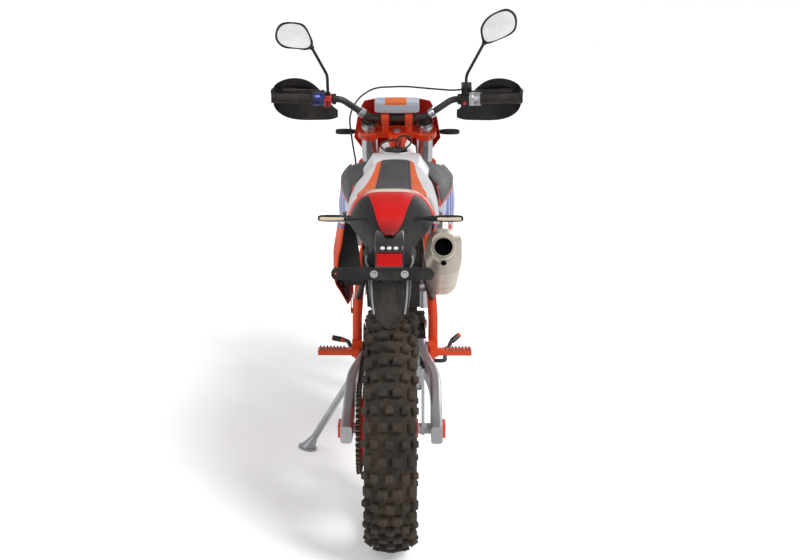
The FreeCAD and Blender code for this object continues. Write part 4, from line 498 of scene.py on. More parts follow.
tones = {
    "orange": tone(236, 70, 16), "redOrange": tone(222, 44, 20), "black": tone(30, 29, 30),
    "dark": tone(44, 42, 42),
    "grey": tone(92, 90, 92), "paleGrey": tone(176, 176, 180), "white": tone(232, 232, 236),
    "cream": tone(226, 212, 182),
    "silver": tone(196, 198, 202), "steel": tone(168, 168, 170), "rubber": tone(27, 25, 24),
    "tyre": tone(50, 42, 37), "lavender": tone(178, 182, 226), "blue": tone(96, 112, 190),
    "brass": tone(190, 150, 84),
}

finishOf("frameOrange", tones["orange"], 0.38, coat=0.12, wornAmount=0.25, worn=tones["redOrange"], dust=0.08,
         ior=1.4)
finishOf("castOrange", tone(234, 70, 24), 0.30, metal=0.35, wornAmount=0.3, dust=0.1, coat=0.2)
finishOf("blackPaint", tone(22, 21, 22), 0.42, coat=0.1, wornAmount=0.3, worn=tones["grey"], dust=0.12)
finishOf("blackPlastic", tone(21, 20, 20), 0.5, grain=900, grainDepth=0.00025, dust=0.12, wornAmount=0.25,
         worn=tones["dark"], ior=1.42)
finishOf("orangePlastic", tones["orange"], 0.42, coat=0.05, wornAmount=0.15, dust=0.06, ior=1.35)
finishOf("maskPlastic", tones["redOrange"], 0.34, coat=0.12, wornAmount=0.15, dust=0.04, ior=1.4)
finishOf("whitePlastic", tones["white"], 0.3, coat=0.25, wornAmount=0.25, worn=tones["paleGrey"], dust=0.12)
finishOf("silverCast", tones["silver"], 0.36, metal=0.9, wornAmount=0.3, worn=tones["grey"], dust=0.16,
         grain=500, grainDepth=0.0002)
finishOf("silverSmooth", tones["silver"], 0.22, metal=1.0, wornAmount=0.2, worn=tones["grey"], dust=0.08,
         brushed=420, grainDepth=0.0001)
finishOf("steel", tones["steel"], 0.26, metal=1.0, wornAmount=0.25, worn=tones["grey"], dust=0.12, brushed=300,
         grainDepth=0.0001)
finishOf("titanium", tone(218, 209, 192), 0.34, metal=0.85, wornAmount=0.25, worn=tones["grey"], dust=0.06,
         brushed=500, grainDepth=0.00012)
finishOf("outletBright", tone(236, 228, 212), 0.3, metal=0.5, dust=0.05)
# near-black matte finish with almost no reflection: real soot, and painted shade where it closes the muffler's
# bore
finishOf("sootAndPaintedShade", tone(4, 3, 3), 0.95, wornAmount=0.0, dust=0.0, ior=1.05)
finishOf("engineDark", tones["dark"], 0.45, metal=0.5, wornAmount=0.4, worn=tones["paleGrey"], dust=0.3,
         grain=420, grainDepth=0.0004)
finishOf("rubber", tones["rubber"], 0.72, wornAmount=0.3, dust=0.3, grain=700, grainDepth=0.0002)
finishOf("gripRubber", tone(44, 34, 32), 0.68, wornAmount=0.25, dust=0.25, grain=600, grainDepth=0.0003)
finishOf("tyreRubber", tones["tyre"], 0.86, wornAmount=0.5, worn=tone(84, 72, 60), dust=0.5,
         dustColour=tone(108, 92, 74), grain=380, grainDepth=0.0006)
finishOf("chainSteel", tone(74, 66, 60), 0.42, metal=0.9, wornAmount=0.4, worn=tones["brass"], dust=0.3)
finishOf("seatDark", tone(70, 68, 70), 0.7, grain=520, grainDepth=0.0005, dust=0.3, sheen=0.1)
finishOf("cream", tones["cream"], 0.25, coat=0.3, dust=0.1)
finishOf("reflector", tone(214, 6, 12), 0.3, coat=0.1, wornAmount=0.05, dust=0.0, ior=1.3)
finishOf("blueAnodised", tone(52, 66, 128), 0.3, metal=0.7)
finishOf("redPlastic", tone(190, 26, 30), 0.35, coat=0.2, dust=0.1)
print("finishes ready")


# Wheels and tyres
tyres = {
    "rear": {"radius": 0.340, "halfWidth": 0.070, "rim": 0.241, "knob": 0.017, "pitches": 23,
             "frame": rearWheel, "body": "rear_wheel"},
    "front": {"radius": 0.350, "halfWidth": 0.046, "rim": 0.280, "knob": 0.013, "pitches": 17,
              "frame": frontWheel, "body": "front_wheel"},
}
knobs = {  # each row's share of a pitch, then its blocks' place across, width and length
    "rows": ((0.245, ((0.25, 0.40, 0.27), (-0.25, 0.40, 0.27), (0.77, 0.34, 0.34), (-0.77, 0.34, 0.34))),
             (0.745, ((0.0, 0.36, 0.26), (0.52, 0.30, 0.25), (-0.52, 0.30, 0.25), (0.86, 0.24, 0.22),
                      (-0.86, 0.24, 0.22)))),
    "shoulder": 0.7, "shoulderHeight": 0.86, "taper": 0.86, "edge": 0.0014, "foot": 0.003,
}
carcassShares = ((0.47, 0.03), (0.50, 0.0), (0.74, 0.12), (0.92, 0.34), (0.97, 0.55), (0.88, 0.74),
                 (0.68, 0.88), (0.42, 0.965), (0.14, 1.0))


def carcassPoint(spec, across):
    # radius and outward tilt of the carcass at a distance from the centre plane
    base = spec["radius"] - spec["knob"]
    seat = spec["rim"] + 0.001
    shares = carcassShares[4:]
    points = [(share * spec["halfWidth"], seat + rise * (base - seat)) for share, rise in shares] + [(0, base)]
    reach = min(abs(across), points[0][0] - 0.0001)
    for (farX, farR), (nearX, nearR) in zip(points, points[1:]):
        if nearX <= reach <= farX:
            share = (reach - nearX) / (farX - nearX)
            tilt = math.atan2(nearR - farR, farX - nearX)
            return nearR + (farR - nearR) * share, math.copysign(tilt, across) if abs(across) > 0.004 else 0.0
    return base, 0.0


def knobBlock(name, width, length, height):
    block = blockAt(name, (-width / 2, -length / 2, -knobs["foot"]), (width / 2, length / 2, height), bevel=0)
    for vertex in block.data.vertices:
        if vertex.co.z > 0:
            vertex.co.x *= knobs["taper"]
            vertex.co.y *= knobs["taper"]
    return rounded(block, knobs["edge"], 1, 20)


def makeTyre(key):
    spec = tyres[key]
    base = spec["radius"] - spec["knob"]
    seat = spec["rim"] + 0.001
    side = [(share * spec["halfWidth"], seat + rise * (base - seat)) for share, rise in carcassShares]
    profile = side + [(-x, r) for x, r in reversed(side)]
    carcass = latheAt(key + "Carcass", profile, (0, 0, 0), (1, 0, 0), steps=4 * spec["pitches"], angle=60)
    wide = spec["halfWidth"]
    pitch = math.tau / spec["pitches"]
    pieces = [carcass]
    for share, blocks in knobs["rows"]:
        for across, width, length in blocks:
            radius, tilt = carcassPoint(spec, across * wide)
            height = spec["knob"] * (1.0 if abs(across) < knobs["shoulder"] else knobs["shoulderHeight"])
            block = knobBlock("knob", width * wide, length * pitch * spec["radius"], height)
            lean = Matrix.Rotation(tilt, 4, "Y")
            seated = Matrix.Translation((across * wide, 0, radius)) @ lean
            for i in range(spec["pitches"]):
                turn = Matrix.Rotation(pitch * (i + share) - math.pi / 2, 4, "X")
                pieces.append(copied(block, turn @ seated))
            bpy.data.objects.remove(block)
    whole = joinedUp(key + "TyreTread", pieces)
    shaded(whole, 45)
    return finished(whole, spec["body"], "tyreRubber", [key + "_tyre"], spec["frame"])


makeTyre("rear")
makeTyre("front")
print("tyres done")


# Drive chain, link by link along the same loop as its solid
drive = {"pitch": 0.015875, "rearTeeth": 48, "frontTeeth": 14, "links": 114, "across": -0.089,
         "axisHeight": 0.418,
         "inside": 0.0062, "plate": 0.0016, "plateHeight": 0.0135, "roller": 0.0048, "pin": 0.0024}


def pitchRadius(teeth):
    return drive["pitch"] / 2 / math.sin(math.pi / teeth)


def chainLegs(along):
    rise = drive["axisHeight"] - bike["rearAxle"][2]
    rear, front = pitchRadius(drive["rearTeeth"]), pitchRadius(drive["frontTeeth"])
    centres = math.hypot(along, rise)
    slope, tilt = math.atan2(rise, along), math.asin((rear - front) / centres)
    straight = centres * math.cos(tilt)
    top, bottom = slope + math.pi / 2 - tilt, slope - math.pi / 2 + tilt
    return [("top", top, straight), ("front", top, (math.pi - 2 * tilt) * front), ("bottom", bottom, straight),
            ("rear", bottom, (math.pi + 2 * tilt) * rear)]


def driveAlong():
    low, high = 0.5, 1.0
    for step in range(50):
        middle = (low + high) / 2
        if sum(leg[2] for leg in chainLegs(middle)) > drive["links"] * drive["pitch"]:
            high = middle
        else:
            low = middle
    return low


driveAxis = Vector((0, driveAlong(), drive["axisHeight"]))
loopLegs = chainLegs(driveAxis.y)
loopLength = sum(leg[2] for leg in loopLegs)


def chainPoint(distance):
    distance %= loopLength
    rear, front = pitchRadius(drive["rearTeeth"]), pitchRadius(drive["frontTeeth"])
    for kind, angle, length in loopLegs:
        if distance > length:
            distance -= length
            continue
        out = Vector((0, math.cos(angle), math.sin(angle)))
        rearTouch, frontTouch = Vector(bike["rearAxle"]) + out * rear, driveAxis + out * front
        if kind == "top":
            return rearTouch.lerp(frontTouch, distance / length)
        if kind == "bottom":
            return frontTouch.lerp(rearTouch, distance / length)
        centre, radius = (driveAxis, front) if kind == "front" else (Vector(bike["rearAxle"]), rear)
        turned = angle - distance / radius
        return centre + Vector((0, math.cos(turned), math.sin(turned))) * radius
    return chainPoint(0.0)


def linkPlate(name, across):
    # figure-eight side plate: a disc at each pin and a waist between them
    half, tall = drive["pitch"] / 2, drive["plateHeight"] / 2
    outline = []
    for i in range(9):
        turn = math.pi * (i / 8 - 0.5)
        outline.append((half + tall * 0.92 * math.cos(turn), tall * math.sin(turn)))
    outline.append((0, tall * 0.66))
    for i in range(9):
        turn = math.pi * (i / 8 + 0.5)
        outline.append((-half + tall * 0.92 * math.cos(turn), tall * math.sin(turn)))
    outline.append((0, -tall * 0.66))
    rings = [[Vector((x, y, z)) for y, z in outline] for x in (across - drive["plate"] / 2,
                                                               across + drive["plate"] / 2)]
    return closedLoft(name, rings)


def makeChain():
    inner = drive["inside"] / 2 + drive["plate"] / 2
    outer = inner + drive["plate"] * 1.1
    links = []
    for reach in (inner, outer):
        parts = [linkPlate("plate", side * reach) for side in (-1, 1)]
        for end in (-1, 1):
            place = Vector((0, end * drive["pitch"] / 2, 0))
            if reach == inner:
                half = Vector((drive["inside"] / 2, 0, 0))
                parts.append(rodAt("roller", place - half, place + half, drive["roller"], steps=12))
            else:
                half = Vector((outer + drive["plate"] * 1.2, 0, 0))
                parts.append(rodAt("pin", place - half, place + half, drive["pin"], 0.0004, steps=8))
        links.append(joinedUp("link", parts))
    pieces = []
    for i in range(drive["links"]):
        start = chainPoint(loopLength * (i + 0.5) / drive["links"])
        end = chainPoint(loopLength * (i + 1.5) / drive["links"])
        ahead = (end - start).normalized()
        turn = Matrix.Rotation(math.atan2(ahead.z, ahead.y), 4, "X")
        pieces.append(copied(links[i % 2],
                             Matrix.Translation((start + end) / 2 + Vector((drive["across"], 0, 0))) @ turn))
    for link in links:
        bpy.data.objects.remove(link)
    chain = shaded(joinedUp("driveChain", pieces), 30)
    return finished(chain, "chassis", "chainSteel", ["chain"])


makeChain()
print("chain done")


# Shared shapes for the bodywork
def flowing(rows, steps=4):
    # rows of numbers eased into more rows by a curve through all of them
    curved = []
    for i in range(len(rows) - 1):
        before, here, there, after = rows[max(i - 1, 0)], rows[i], rows[i + 1], rows[min(i + 2, len(rows) - 1)]
        for step in range(steps):
            t = step / steps
            curved.append(tuple(0.5 * (2 * b + (c - a) * t + (2 * a - 5 * b + 4 * c - d) * t * t
                                       + (3 * b - a - 3 * c + d) * t ** 3)
                                for a, b, c, d in zip(before, here, there, after)))
    curved.append(tuple(rows[-1]))
    return curved


def eased(points, passes=2):
    # closed outline with its corners cut
    for step in range(passes):
        points = [tuple(a + (b - a) * share for a, b in zip(points[i], points[(i + 1) % len(points)]))
                  for i in range(len(points)) for share in (0.25, 0.75)]
    return points


def squared(angle, power, upPower=None):
    # a circle's point, pushed out towards its square
    across, up = math.cos(angle), math.sin(angle)
    return math.copysign(abs(across) ** power, across), math.copysign(abs(up) ** (upPower or power), up)


def slabAt(name, outline, axis, low, high, bevel=0.0015, segments=2):
    # flat outline given in the two other axes, made solid between two places on its own axis
    rings = []
    for place in (low, high):
        ring = []
        for first, second in outline:
            spot = [first, second]
            spot.insert(axis, place)
            ring.append(Vector(spot))
        rings.append(ring)
    piece = closedLoft(name, rings)
    if bevel:
        rounded(piece, bevel, segments, 50)
    return shaded(piece, 40)


def sheetAt(name, rows, wall, bevel=0.0, offset=-1.0):
    piece = walled(sheetFrom(name, rows), wall, offset)
    cleaned(piece, 0.000005)
    if bevel:
        rounded(piece, bevel, 1, 60)
    return shaded(piece, 40)


def symmetric(half):
    return list(half) + [(-x, z) for x, z in reversed(half) if abs(x) > 0.00001]


def splitPoint(tree, point):
    node = tree.nodes.new("ShaderNodeSeparateXYZ")
    tree.links.new(point, node.inputs[0])
    return node.outputs


def fadeAlong(axis, low, high, first, second, folded=False):
    def pattern(tree, point, colour):
        value = splitPoint(tree, point)[axis]
        if folded:
            value = mathNode(tree, "ABSOLUTE", value)
        return mixColour(tree, rampNode(tree, value, low, high), first, second)
    return pattern


finishOf("tailRed", tone(206, 10, 8), 0.42, wornAmount=0.05, dust=0.02, ior=1.3,
         pattern=fadeAlong("Z", 0.938, 0.975, tone(84, 14, 16), tone(216, 12, 10)))
finishOf("tailRim", tones["white"], 0.3, coat=0.3, wornAmount=0.15, dust=0.1,
         pattern=fadeAlong("X", 0.035, 0.085, tone(232, 222, 206), tones["redOrange"], folded=True))
finishOf("lampBlack", tones["black"], 0.14, coat=0.6, wornAmount=0.1, dust=0.08)
finishOf("lampWhite", tone(240, 240, 244), 0.12, coat=0.6, wornAmount=0.05, dust=0.02)
finishOf("boltSilver", tones["silver"], 0.2, metal=1.0, worn=tones["grey"], wornAmount=0.2, dust=0.08)


# Tail: hooded fender, red panel, lamp, carrier and flap
tail = {
    "hood": ((0.024, 0.988, 0.106, 0.060), (-0.03, 1.002, 0.110, 0.072), (-0.10, 1.004, 0.098, 0.080),
             (-0.20, 0.966, 0.062, 0.068), (-0.30, 0.904, 0.036, 0.048)),
    "spreads": (0.0, 0.2, 0.4, 0.55, 0.68, 0.79, 0.88, 0.95, 1.0),
    "panel": ((0.018, 0.067, 0), (-0.05, 0.061, 0), (-0.11, 0.052, 0), (-0.155, 0.042, 0),
              (-0.20, 0.0335, 0.002), (-0.245, 0.025, 0.0145), (-0.275, 0.0175, 0.025),
              (-0.298, 0.008, 0.0365)),
    "wall": 0.0038, "flapTop": (-0.300, 0.885), "flapFoot": (-0.318, 0.72),
    "carrier": ((0.036, 0.922), (0.044, 0.905), (0.060, 0.893), (0.062, 0.880), (0.053, 0.862), (0.049, 0.835),
                (0.047, 0.79), (0.041, 0.745), (0.012, 0.716), (0.0, 0.712)),
    "flange": ((0.050, 0.90), (0.061, 0.885), (0.053, 0.86), (0.049, 0.83), (0.047, 0.785), (0.042, 0.75)),
    "flangeSteps": (0.001, 0.014, 0.028, 0.040),
    # edge: line of the grey painted highlight strip along each carrier flange
    "edge": ((0.0565, 0.896), (0.0580, 0.880), (0.0500, 0.862), (0.0455, 0.835), (0.0435, 0.79),
             (0.0385, 0.75)),
    "housing": [(-0.243, 0.9525), (-0.285, 0.946), (-0.322, 0.930), (-0.332, 0.911), (-0.300, 0.909),
                (-0.243, 0.93)],
    "reflectorFrame": [(-0.2995, 0.870), (-0.3295, 0.870), (-0.3225, 0.912), (-0.2995, 0.912)],
    "reflector": [(-0.302, 0.8755), (-0.3325, 0.8755), (-0.3245, 0.9085), (-0.302, 0.9085)],
    "reflectorRibs": (0.880, 0.8835, 0.887, 0.8905, 0.894, 0.8975, 0.901, 0.9045),
    "ledPlaces": (-0.0165, 0.0, 0.0165),
    "rim": ((0.0262, -0.003, 0.0), (0.0262, 0.0015, 0.5), (0.022, 0.0038, 0.95), (0.014, 0.0042, 1.0),
            (-0.002, 0.0038, 0.55), (-0.012, 0.0028, 0.15), (-0.016, 0.0006, 0.0)),
    "panelSpreads": (-1, -0.8, -0.5, -0.2, 0, 0.2, 0.5, 0.8, 1),
}
hoodRows = flowing(tail["hood"], 5)


def hoodAt(along):
    for (farY, *far), (nearY, *near) in zip(hoodRows, hoodRows[1:]):
        if nearY <= along <= farY:
            share = (farY - along) / (farY - nearY)
            return [a + (b - a) * share for a, b in zip(far, near)]
    return list(hoodRows[0][1:]) if along > hoodRows[0][0] else list(hoodRows[-1][1:])


def hoodPoint(along, across, lift=0.0):
    crown, half, drop = hoodAt(along)
    share = min(abs(across) / half, 1.0)
    return Vector((across, along, crown + lift - drop * share ** 5))


def flapAlong(up):
    (topY, topZ), (footY, footZ) = tail["flapTop"], tail["flapFoot"]
    return topY + (footY - topY) * (topZ - up) / (topZ - footZ)


def makeTail():
    spreads = [-share for share in reversed(tail["spreads"][1:])] + list(tail["spreads"])
    shell = sheetAt("tailShell", [[hoodPoint(row[0], spread * row[2]) for spread in spreads]
                                  for row in hoodRows], tail["wall"], 0.0008)
    carrier = []
    outline = symmetric(tail["carrier"])
    rings = [[Vector((x * shrink, flapAlong(z) + back, z)) for x, z in eased(outline, 1)]
             for back, shrink in ((0.0, 1.0), (0.006, 0.985))]
    carrier.append(rounded(closedLoft("carrierPlate", rings), 0.0014, 2, 50))
    for side in (-1, 1):
        rows = [[Vector((side * (x + forward * 0.12), flapAlong(z) + forward, z + forward * 0.3))
                 for forward in tail["flangeSteps"]]
                for x, z in flowing(tail["flange"], 3)]
        carrier.append(sheetAt("carrierFlange", rows, 0.0028, 0.0006, 0.0))
    for x in (-0.024, 0.024):
        carrier.append(blockAt("carrierRib", (x - 0.0018, flapAlong(0.79) - 0.0032, 0.748),
                               (x + 0.0018, flapAlong(0.79) + 0.004, 0.832), 0.001))
    housing = slabAt("lampHousing", tail["housing"], 0, -0.036, 0.036, 0.004, 3)
    frame = slabAt("reflectorFrame", tail["reflectorFrame"], 0, -0.036, 0.036, 0.002)
    shell = joinedUp("tailShell", [shell] + carrier)
    finished(shell, "chassis", "blackPlastic", ["rear_fender"])
    finished(joinedUp("lampHousing", [housing, frame]), "chassis", "lampBlack", ["tail_lamp"])
    reflector = slabAt("tailReflector", tail["reflector"], 0, -0.031, 0.031, 0.0015)
    ribs = []
    for z in tail["reflectorRibs"]:
        face = -0.3335 + 0.008 * (z - 0.8755) / 0.033
        outline = [(face, z - 0.0009), (face, z + 0.0009), (-0.322, z + 0.0009), (-0.322, z - 0.0009)]
        ribs.append(slabAt("reflectorRib", outline, 0, -0.028, 0.028, 0.0))
    finished(joinedUp("tailReflector", [reflector] + ribs), "chassis", "reflector")
    leds = []
    for across in tail["ledPlaces"]:
        diamond = [(across - 0.0078, 0.921), (across, 0.9262), (across + 0.0078, 0.921), (across, 0.9158)]
        leds.append(slabAt("led", eased(diamond, 1), 1, -0.3322, -0.324, 0.0008))
    finished(joinedUp("tailLeds", leds), "chassis", "lampWhite")
    rows = []
    for along, half, raised in flowing(tail["panel"], 4):
        rows.append([hoodPoint(along, half * share, raised + 0.0042 - 0.0022 * abs(share) ** 4)
                     for share in tail["panelSpreads"]])
    panel = sheetAt("tailPanel", rows, 0.004, 0.001)
    finished(panel, "chassis", "tailRed")
    rows = []
    for along, lift, rise in tail["rim"]:
        crown, half, drop = hoodAt(min(along, 0.0239))
        rows.append([Vector((spread * (half + 0.002 + 0.007 * rise * abs(spread) ** 2), along, crown + lift
                             + 0.013 * rise * (1 - 0.3 * spread * spread) - drop * abs(spread) ** 5))
                     for spread in spreads])
    finished(sheetAt("tailRim", rows, 0.0025, 0.0), "chassis", "tailRim")
    print("tail done")


makeTail()


def boltAt(name, place, heading, radius=0.006, tall=0.005, washer=1.5):
    # hexagon head on a washer, with a chamfered top
    heading = Vector(heading).normalized()
    place = Vector(place)
    disc = latheAt(name, [(0, 0), (0, radius * washer), (tall * 0.25, radius * washer), (tall * 0.25, 0)],
                   place, heading, 24)
    head = latheAt(name, [(0, 0), (0, radius), (tall * 0.8, radius), (tall, radius * 0.86), (tall, 0)],
                   place + heading * tall * 0.25, heading, 6, 20)
    return joinedUp(name, [disc, head])


bolts = [boltAt("bracketBolt", (x, -0.3222, 0.854), (0, -1, 0), 0.0062, 0.005, 1.55) for x in (-0.038, 0.038)]
finished(joinedUp("bracketBolts", bolts), "chassis", "boltSilver")


# Indicators: a slim black body on a waisted stalk, with a cream lens set in one face
indicators = {
    "rear": {"body": "chassis", "frame": None, "stalk": (0.045, 0.112), "end": 0.187, "along": -0.155,
             "up": 0.962, "facing": -1},
    "front": {"body": "steering", "frame": steer, "stalk": (0.108, 0.150), "end": 0.216, "along": 0.086,
              "up": 0.726, "facing": 1},
}
indicatorForm = {
    "sections": ((0.0, 0.0045, 0.0050), (0.12, 0.0075, 0.0085), (0.45, 0.0088, 0.0105), (0.85, 0.0082, 0.0095),
                 (0.97, 0.0060, 0.0070), (1.0, 0.0030, 0.0040)),
    "lens": ((0.10, 0.0022), (0.16, 0.0052), (0.5, 0.0062), (0.86, 0.0056), (0.93, 0.0022)),
    "stalk": 0.0075, "waist": 0.0035, "tuck": 0.003, "corner": 0.7, "lensFoot": 0.004, "lensBulge": 0.0082,
}


def indicatorAt(name, side, stalk, end, along, up, facing):
    form, (near, far) = indicatorForm, stalk
    line = [(side * (near + (far - near) * share), along, up) for share in (0, 0.3, 0.7, 1)]
    stalk = tubeAlong(name + "Stalk", line, form["stalk"], 12,
                      radii=lambda share: form["stalk"] - form["waist"]
                      * math.sin(math.pi * min(share * 1.1, 1)))
    rings, lensRings = [], []
    for share, tall, deep in flowing(form["sections"], 3):
        x = side * (far - form["tuck"] + (end - far + form["tuck"]) * share)
        ring = [squared(math.tau * k / 16, form["corner"]) for k in range(16)]
        rings.append([Vector((x, along + deep * ahead, up + tall * rise)) for ahead, rise in ring])
    for share, tall in flowing(form["lens"], 3):
        x = side * (far + (end - far) * share)
        turns = [math.pi * (k / 10 - 0.5) for k in range(11)]
        lensRings.append([Vector((x, along + facing * (form["lensFoot"] + form["lensBulge"] * math.cos(a)),
                                  up + tall * math.sin(a))) for a in turns])
    return [stalk, shaded(closedLoft(name, rings), 50)], shaded(closedLoft(name + "Lens", lensRings), 50)


def makeIndicators(key, body, frame, **places):
    (leftShell, leftLens), (rightShell, rightLens) = [indicatorAt(key, side, **places) for side in (-1, 1)]
    finished(joinedUp(key + "Indicators", leftShell + rightShell), body, "blackPlastic",
             [key + "_indicators"], frame)
    finished(joinedUp(key + "IndicatorLenses", [leftLens, rightLens]), body, "cream",
             frameOf=frame)


for key, spec in indicators.items():
    makeIndicators(key, **spec)
print("indicators done")


# Seat: crowned moulded foam under a stitched cover. A row is its place along, then half width and height at
# the foot, the side and the top.
seat = {
    "rows": ((0.79, 0.048, 0.925, 0.056, 0.955, 0.040, 0.974), (0.68, 0.092, 0.862, 0.088, 0.93, 0.068, 0.972),
             (0.50, 0.124, 0.846, 0.120, 0.92, 0.092, 0.961), (0.30, 0.132, 0.858, 0.128, 0.92, 0.100, 0.962),
             (0.12, 0.128, 0.895, 0.124, 0.94, 0.100, 0.980), (0.03, 0.116, 0.935, 0.112, 0.965, 0.088, 0.992)),
    "patch": (0.054, 0.042), "orange": (0.094, 0.058), "patchFrom": 0.1, "patchTo": 0.79, "patchUp": 0.945,
    "ribs": 13, "ribTall": 0.0016, "crown": 0.0045, "edge": 0.006, "piping": 0.0014, "pipingTo": 0.75,
}


def seatPatch(along):
    back, front = seat["patch"]
    share = (along - seat["patchFrom"]) / (seat["patchTo"] - seat["patchFrom"])
    return back + (front - back) * min(max(share, 0), 1)


def seatColour(tree, point, colour):
    x, y, z = splitPoint(tree, point)
    across = mathNode(tree, "ABSOLUTE", x)
    patch, orange = [rampNode(tree, y, seat["patchFrom"], seat["patchTo"], *seat[key])
                     for key in ("patch", "orange")]
    inPatch = mathNode(tree, "LESS_THAN", across, patch)
    inOrange = mathNode(tree, "LESS_THAN", across, orange)
    flank = mixColour(tree, inOrange, tone(226, 224, 226), tone(238, 98, 12))
    return mixColour(tree, mathNode(tree, "MULTIPLY", inPatch,
                                    mathNode(tree, "GREATER_THAN", z, seat["patchUp"])), flank, colour)


finishOf("seatCover", tone(52, 49, 56), 0.62, wornAmount=0.1, dust=0.08, grain=420, grainDepth=0.0004,
         sheen=0.06, ior=1.4, pattern=seatColour)


def makeSeat():
    rows = []
    for along, lowHalf, low, sideHalf, side, topHalf, top in flowing(seat["rows"], 9):
        patch = min(seatPatch(along), topHalf * 0.94)
        half = [(lowHalf - 0.012, low), (lowHalf, low + 0.004),
                ((lowHalf + sideHalf) / 2 + 0.0015, (low + side) / 2), (sideHalf, side),
                (sideHalf * 0.72 + topHalf * 0.28, side * 0.35 + top * 0.65 + 0.001), (topHalf, top),
                ((topHalf + patch) / 2 + 0.001, top + seat["crown"] * 0.25),
                (patch + 0.0022, top + seat["crown"] * 0.4), (patch, top - 0.0008)]
        count = seat["ribs"] * 4
        upper = []
        for k in range(count + 1):
            share = k / count
            x = patch * (2 * share - 1)
            rib = seat["ribTall"] * abs(math.sin(math.pi * share * seat["ribs"])) ** 0.6
            upper.append((x, top + seat["crown"] * (0.5 + 0.5 * (1 - (x / patch) ** 2)) * 0.8 - 0.001 + rib))
        ring = [(-x, z) for x, z in half] + upper[1:-1] + list(reversed(half))
        rows.append([Vector((x, along, z)) for x, z in ring])
    piece = closedLoft("seatCover", rows)
    rounded(piece, seat["edge"], 3, 60)
    shaded(piece, 50)
    piping = []
    for side in (-1, 1):
        line = [(side * (seatPatch(y) + 0.001), y, top + seat["crown"] * 0.5)
                for y, *_, top in flowing(seat["rows"], 6) if y < seat["pipingTo"]]
        piping.append(tubeAlong("seatPiping", line, seat["piping"], 8, steps=3))
    finished(piece, "chassis", "seatCover", ["seat"])
    finished(joinedUp("seatPiping", piping), "chassis", "seatDark")


makeSeat()


# Tank: white shell with a raised collar round the filler
tank = {
    "rows": ((1.0, 0.072, 0.815, 0.092, 0.88, 0.048, 0.948), (0.95, 0.100, 0.785, 0.140, 0.85, 0.068, 0.972),
             (0.85, 0.112, 0.775, 0.148, 0.855, 0.076, 0.985), (0.75, 0.104, 0.795, 0.124, 0.86, 0.072, 0.972),
             (0.69, 0.088, 0.825, 0.100, 0.87, 0.064, 0.945)),
    "collar": [(0, 0.038), (0.004, 0.044), (0.0065, 0.0425), (0.007, 0.0395), (0.003, 0.037)],
    "screwTurns": (0.4, 2.5, 4.6),
    "screw": [(0, 0), (0, 0.0022), (0.0012, 0.0019), (0.0012, 0)],
    "edge": 0.008, "filler": (0, 0.885, 0.981), "screwRing": 0.024, "screwUp": 0.9985,
}


def makeTank():
    rows = []
    for along, lowHalf, low, sideHalf, side, topHalf, top in flowing(tank["rows"], 6):
        half = [(0.0, low), (lowHalf * 0.6, low), (lowHalf, low + 0.008),
                ((lowHalf + sideHalf) / 2 + 0.003, (low + side) / 2), (sideHalf, side),
                ((sideHalf + topHalf) / 2 + 0.002, (side + top) / 2 + 0.006), (topHalf, top - 0.002),
                (topHalf * 0.6, top), (0.0, top + 0.0005)]
        ring = half + [(-x, z) for x, z in reversed(half[1:-1])]
        rows.append([Vector((x, along, z)) for x, z in ring])
    shell = rounded(closedLoft("tankShell", rows), tank["edge"], 3, 55)
    collar = latheAt("tankCollar", tank["collar"], tank["filler"], (0, 0, 1), 40)
    finished(joinedUp("tankShell", [shaded(shell, 45), collar]), "chassis", "whitePlastic",
             ["tank"])
    ring = tank["screwRing"]
    screws = [latheAt("capScrew", tank["screw"], (ring * math.cos(a), tank["filler"][1] + ring * math.sin(a),
                                                  tank["screwUp"]), (0, 0, 1), 12) for a in tank["screwTurns"]]
    finished(joinedUp("capScrews", screws), "chassis", "boltSilver")


makeTank()


# Curved panels: an outline seen from the side, bent to a table of places across the bike
def between(table, value):
    if value <= table[0][0]:
        return table[0][1]
    for (a, first), (b, second) in zip(table, table[1:]):
        if value <= b:
            share = (value - a) / (b - a)
            if isinstance(first, tuple):
                return tuple(p + (q - p) * share for p, q in zip(first, second))
            return first + (second - first) * share
    return table[-1][1]


def surfaceAt(heights, table, along, up):
    return between(list(zip(heights, between(table, along))), up)


def panelFrom(name, side, heights, table, low, high, wall, lift=0.0, columns=34, rows=14, bevel=0.0009):
    start, end = max(low[0][0], high[0][0]), min(low[-1][0], high[-1][0])
    grid = []
    for i in range(columns + 1):
        along = start + (end - start) * i / columns
        foot, crown = between(low, along), between(high, along)
        if crown - foot < 0.0012:
            foot, crown = (foot + crown) / 2 - 0.0006, (foot + crown) / 2 + 0.0006
        grid.append([])
        for k in range(rows + 1):
            up = foot + (crown - foot) * k / rows
            edge = min(k, rows - k) / rows
            roll = 0.004 * max(0.0, 1 - edge * 7) ** 2
            grid[-1].append(Vector((side * (surfaceAt(heights, table, along, up) + lift - roll), along, up)))
    piece = sheetFrom(name, grid)
    walled(piece, wall, 1.0 if side < 0 else -1.0)
    cleaned(piece, 0.000004)
    if bevel:
        rounded(piece, bevel, 2, 60)
    return shaded(piece, 40)


def slantedBars(tree, point, ground, ink, middle, size):
    # three leaning bars, meaning nothing
    x, y, z = splitPoint(tree, point)
    along = mathNode(tree, "DIVIDE", mathNode(tree, "SUBTRACT", y, middle[0]), size[0])
    up = mathNode(tree, "DIVIDE", mathNode(tree, "SUBTRACT", z, middle[1]), size[1])
    leaning = mathNode(tree, "MULTIPLY_ADD", up, -0.34, along)
    colour = ground
    for left, right in ((-0.5, -0.22), (-0.12, 0.10), (0.20, 0.34)):
        mask = None
        for value, edge, kind in ((leaning, left, "GREATER_THAN"), (leaning, right, "LESS_THAN"),
                                  (up, -0.5, "GREATER_THAN"), (up, 0.42, "LESS_THAN")):
            step = mathNode(tree, kind, value, edge)
            mask = step if mask is None else mathNode(tree, "MULTIPLY", mask, step)
        colour = mixColour(tree, mask, colour, ink)
    return colour


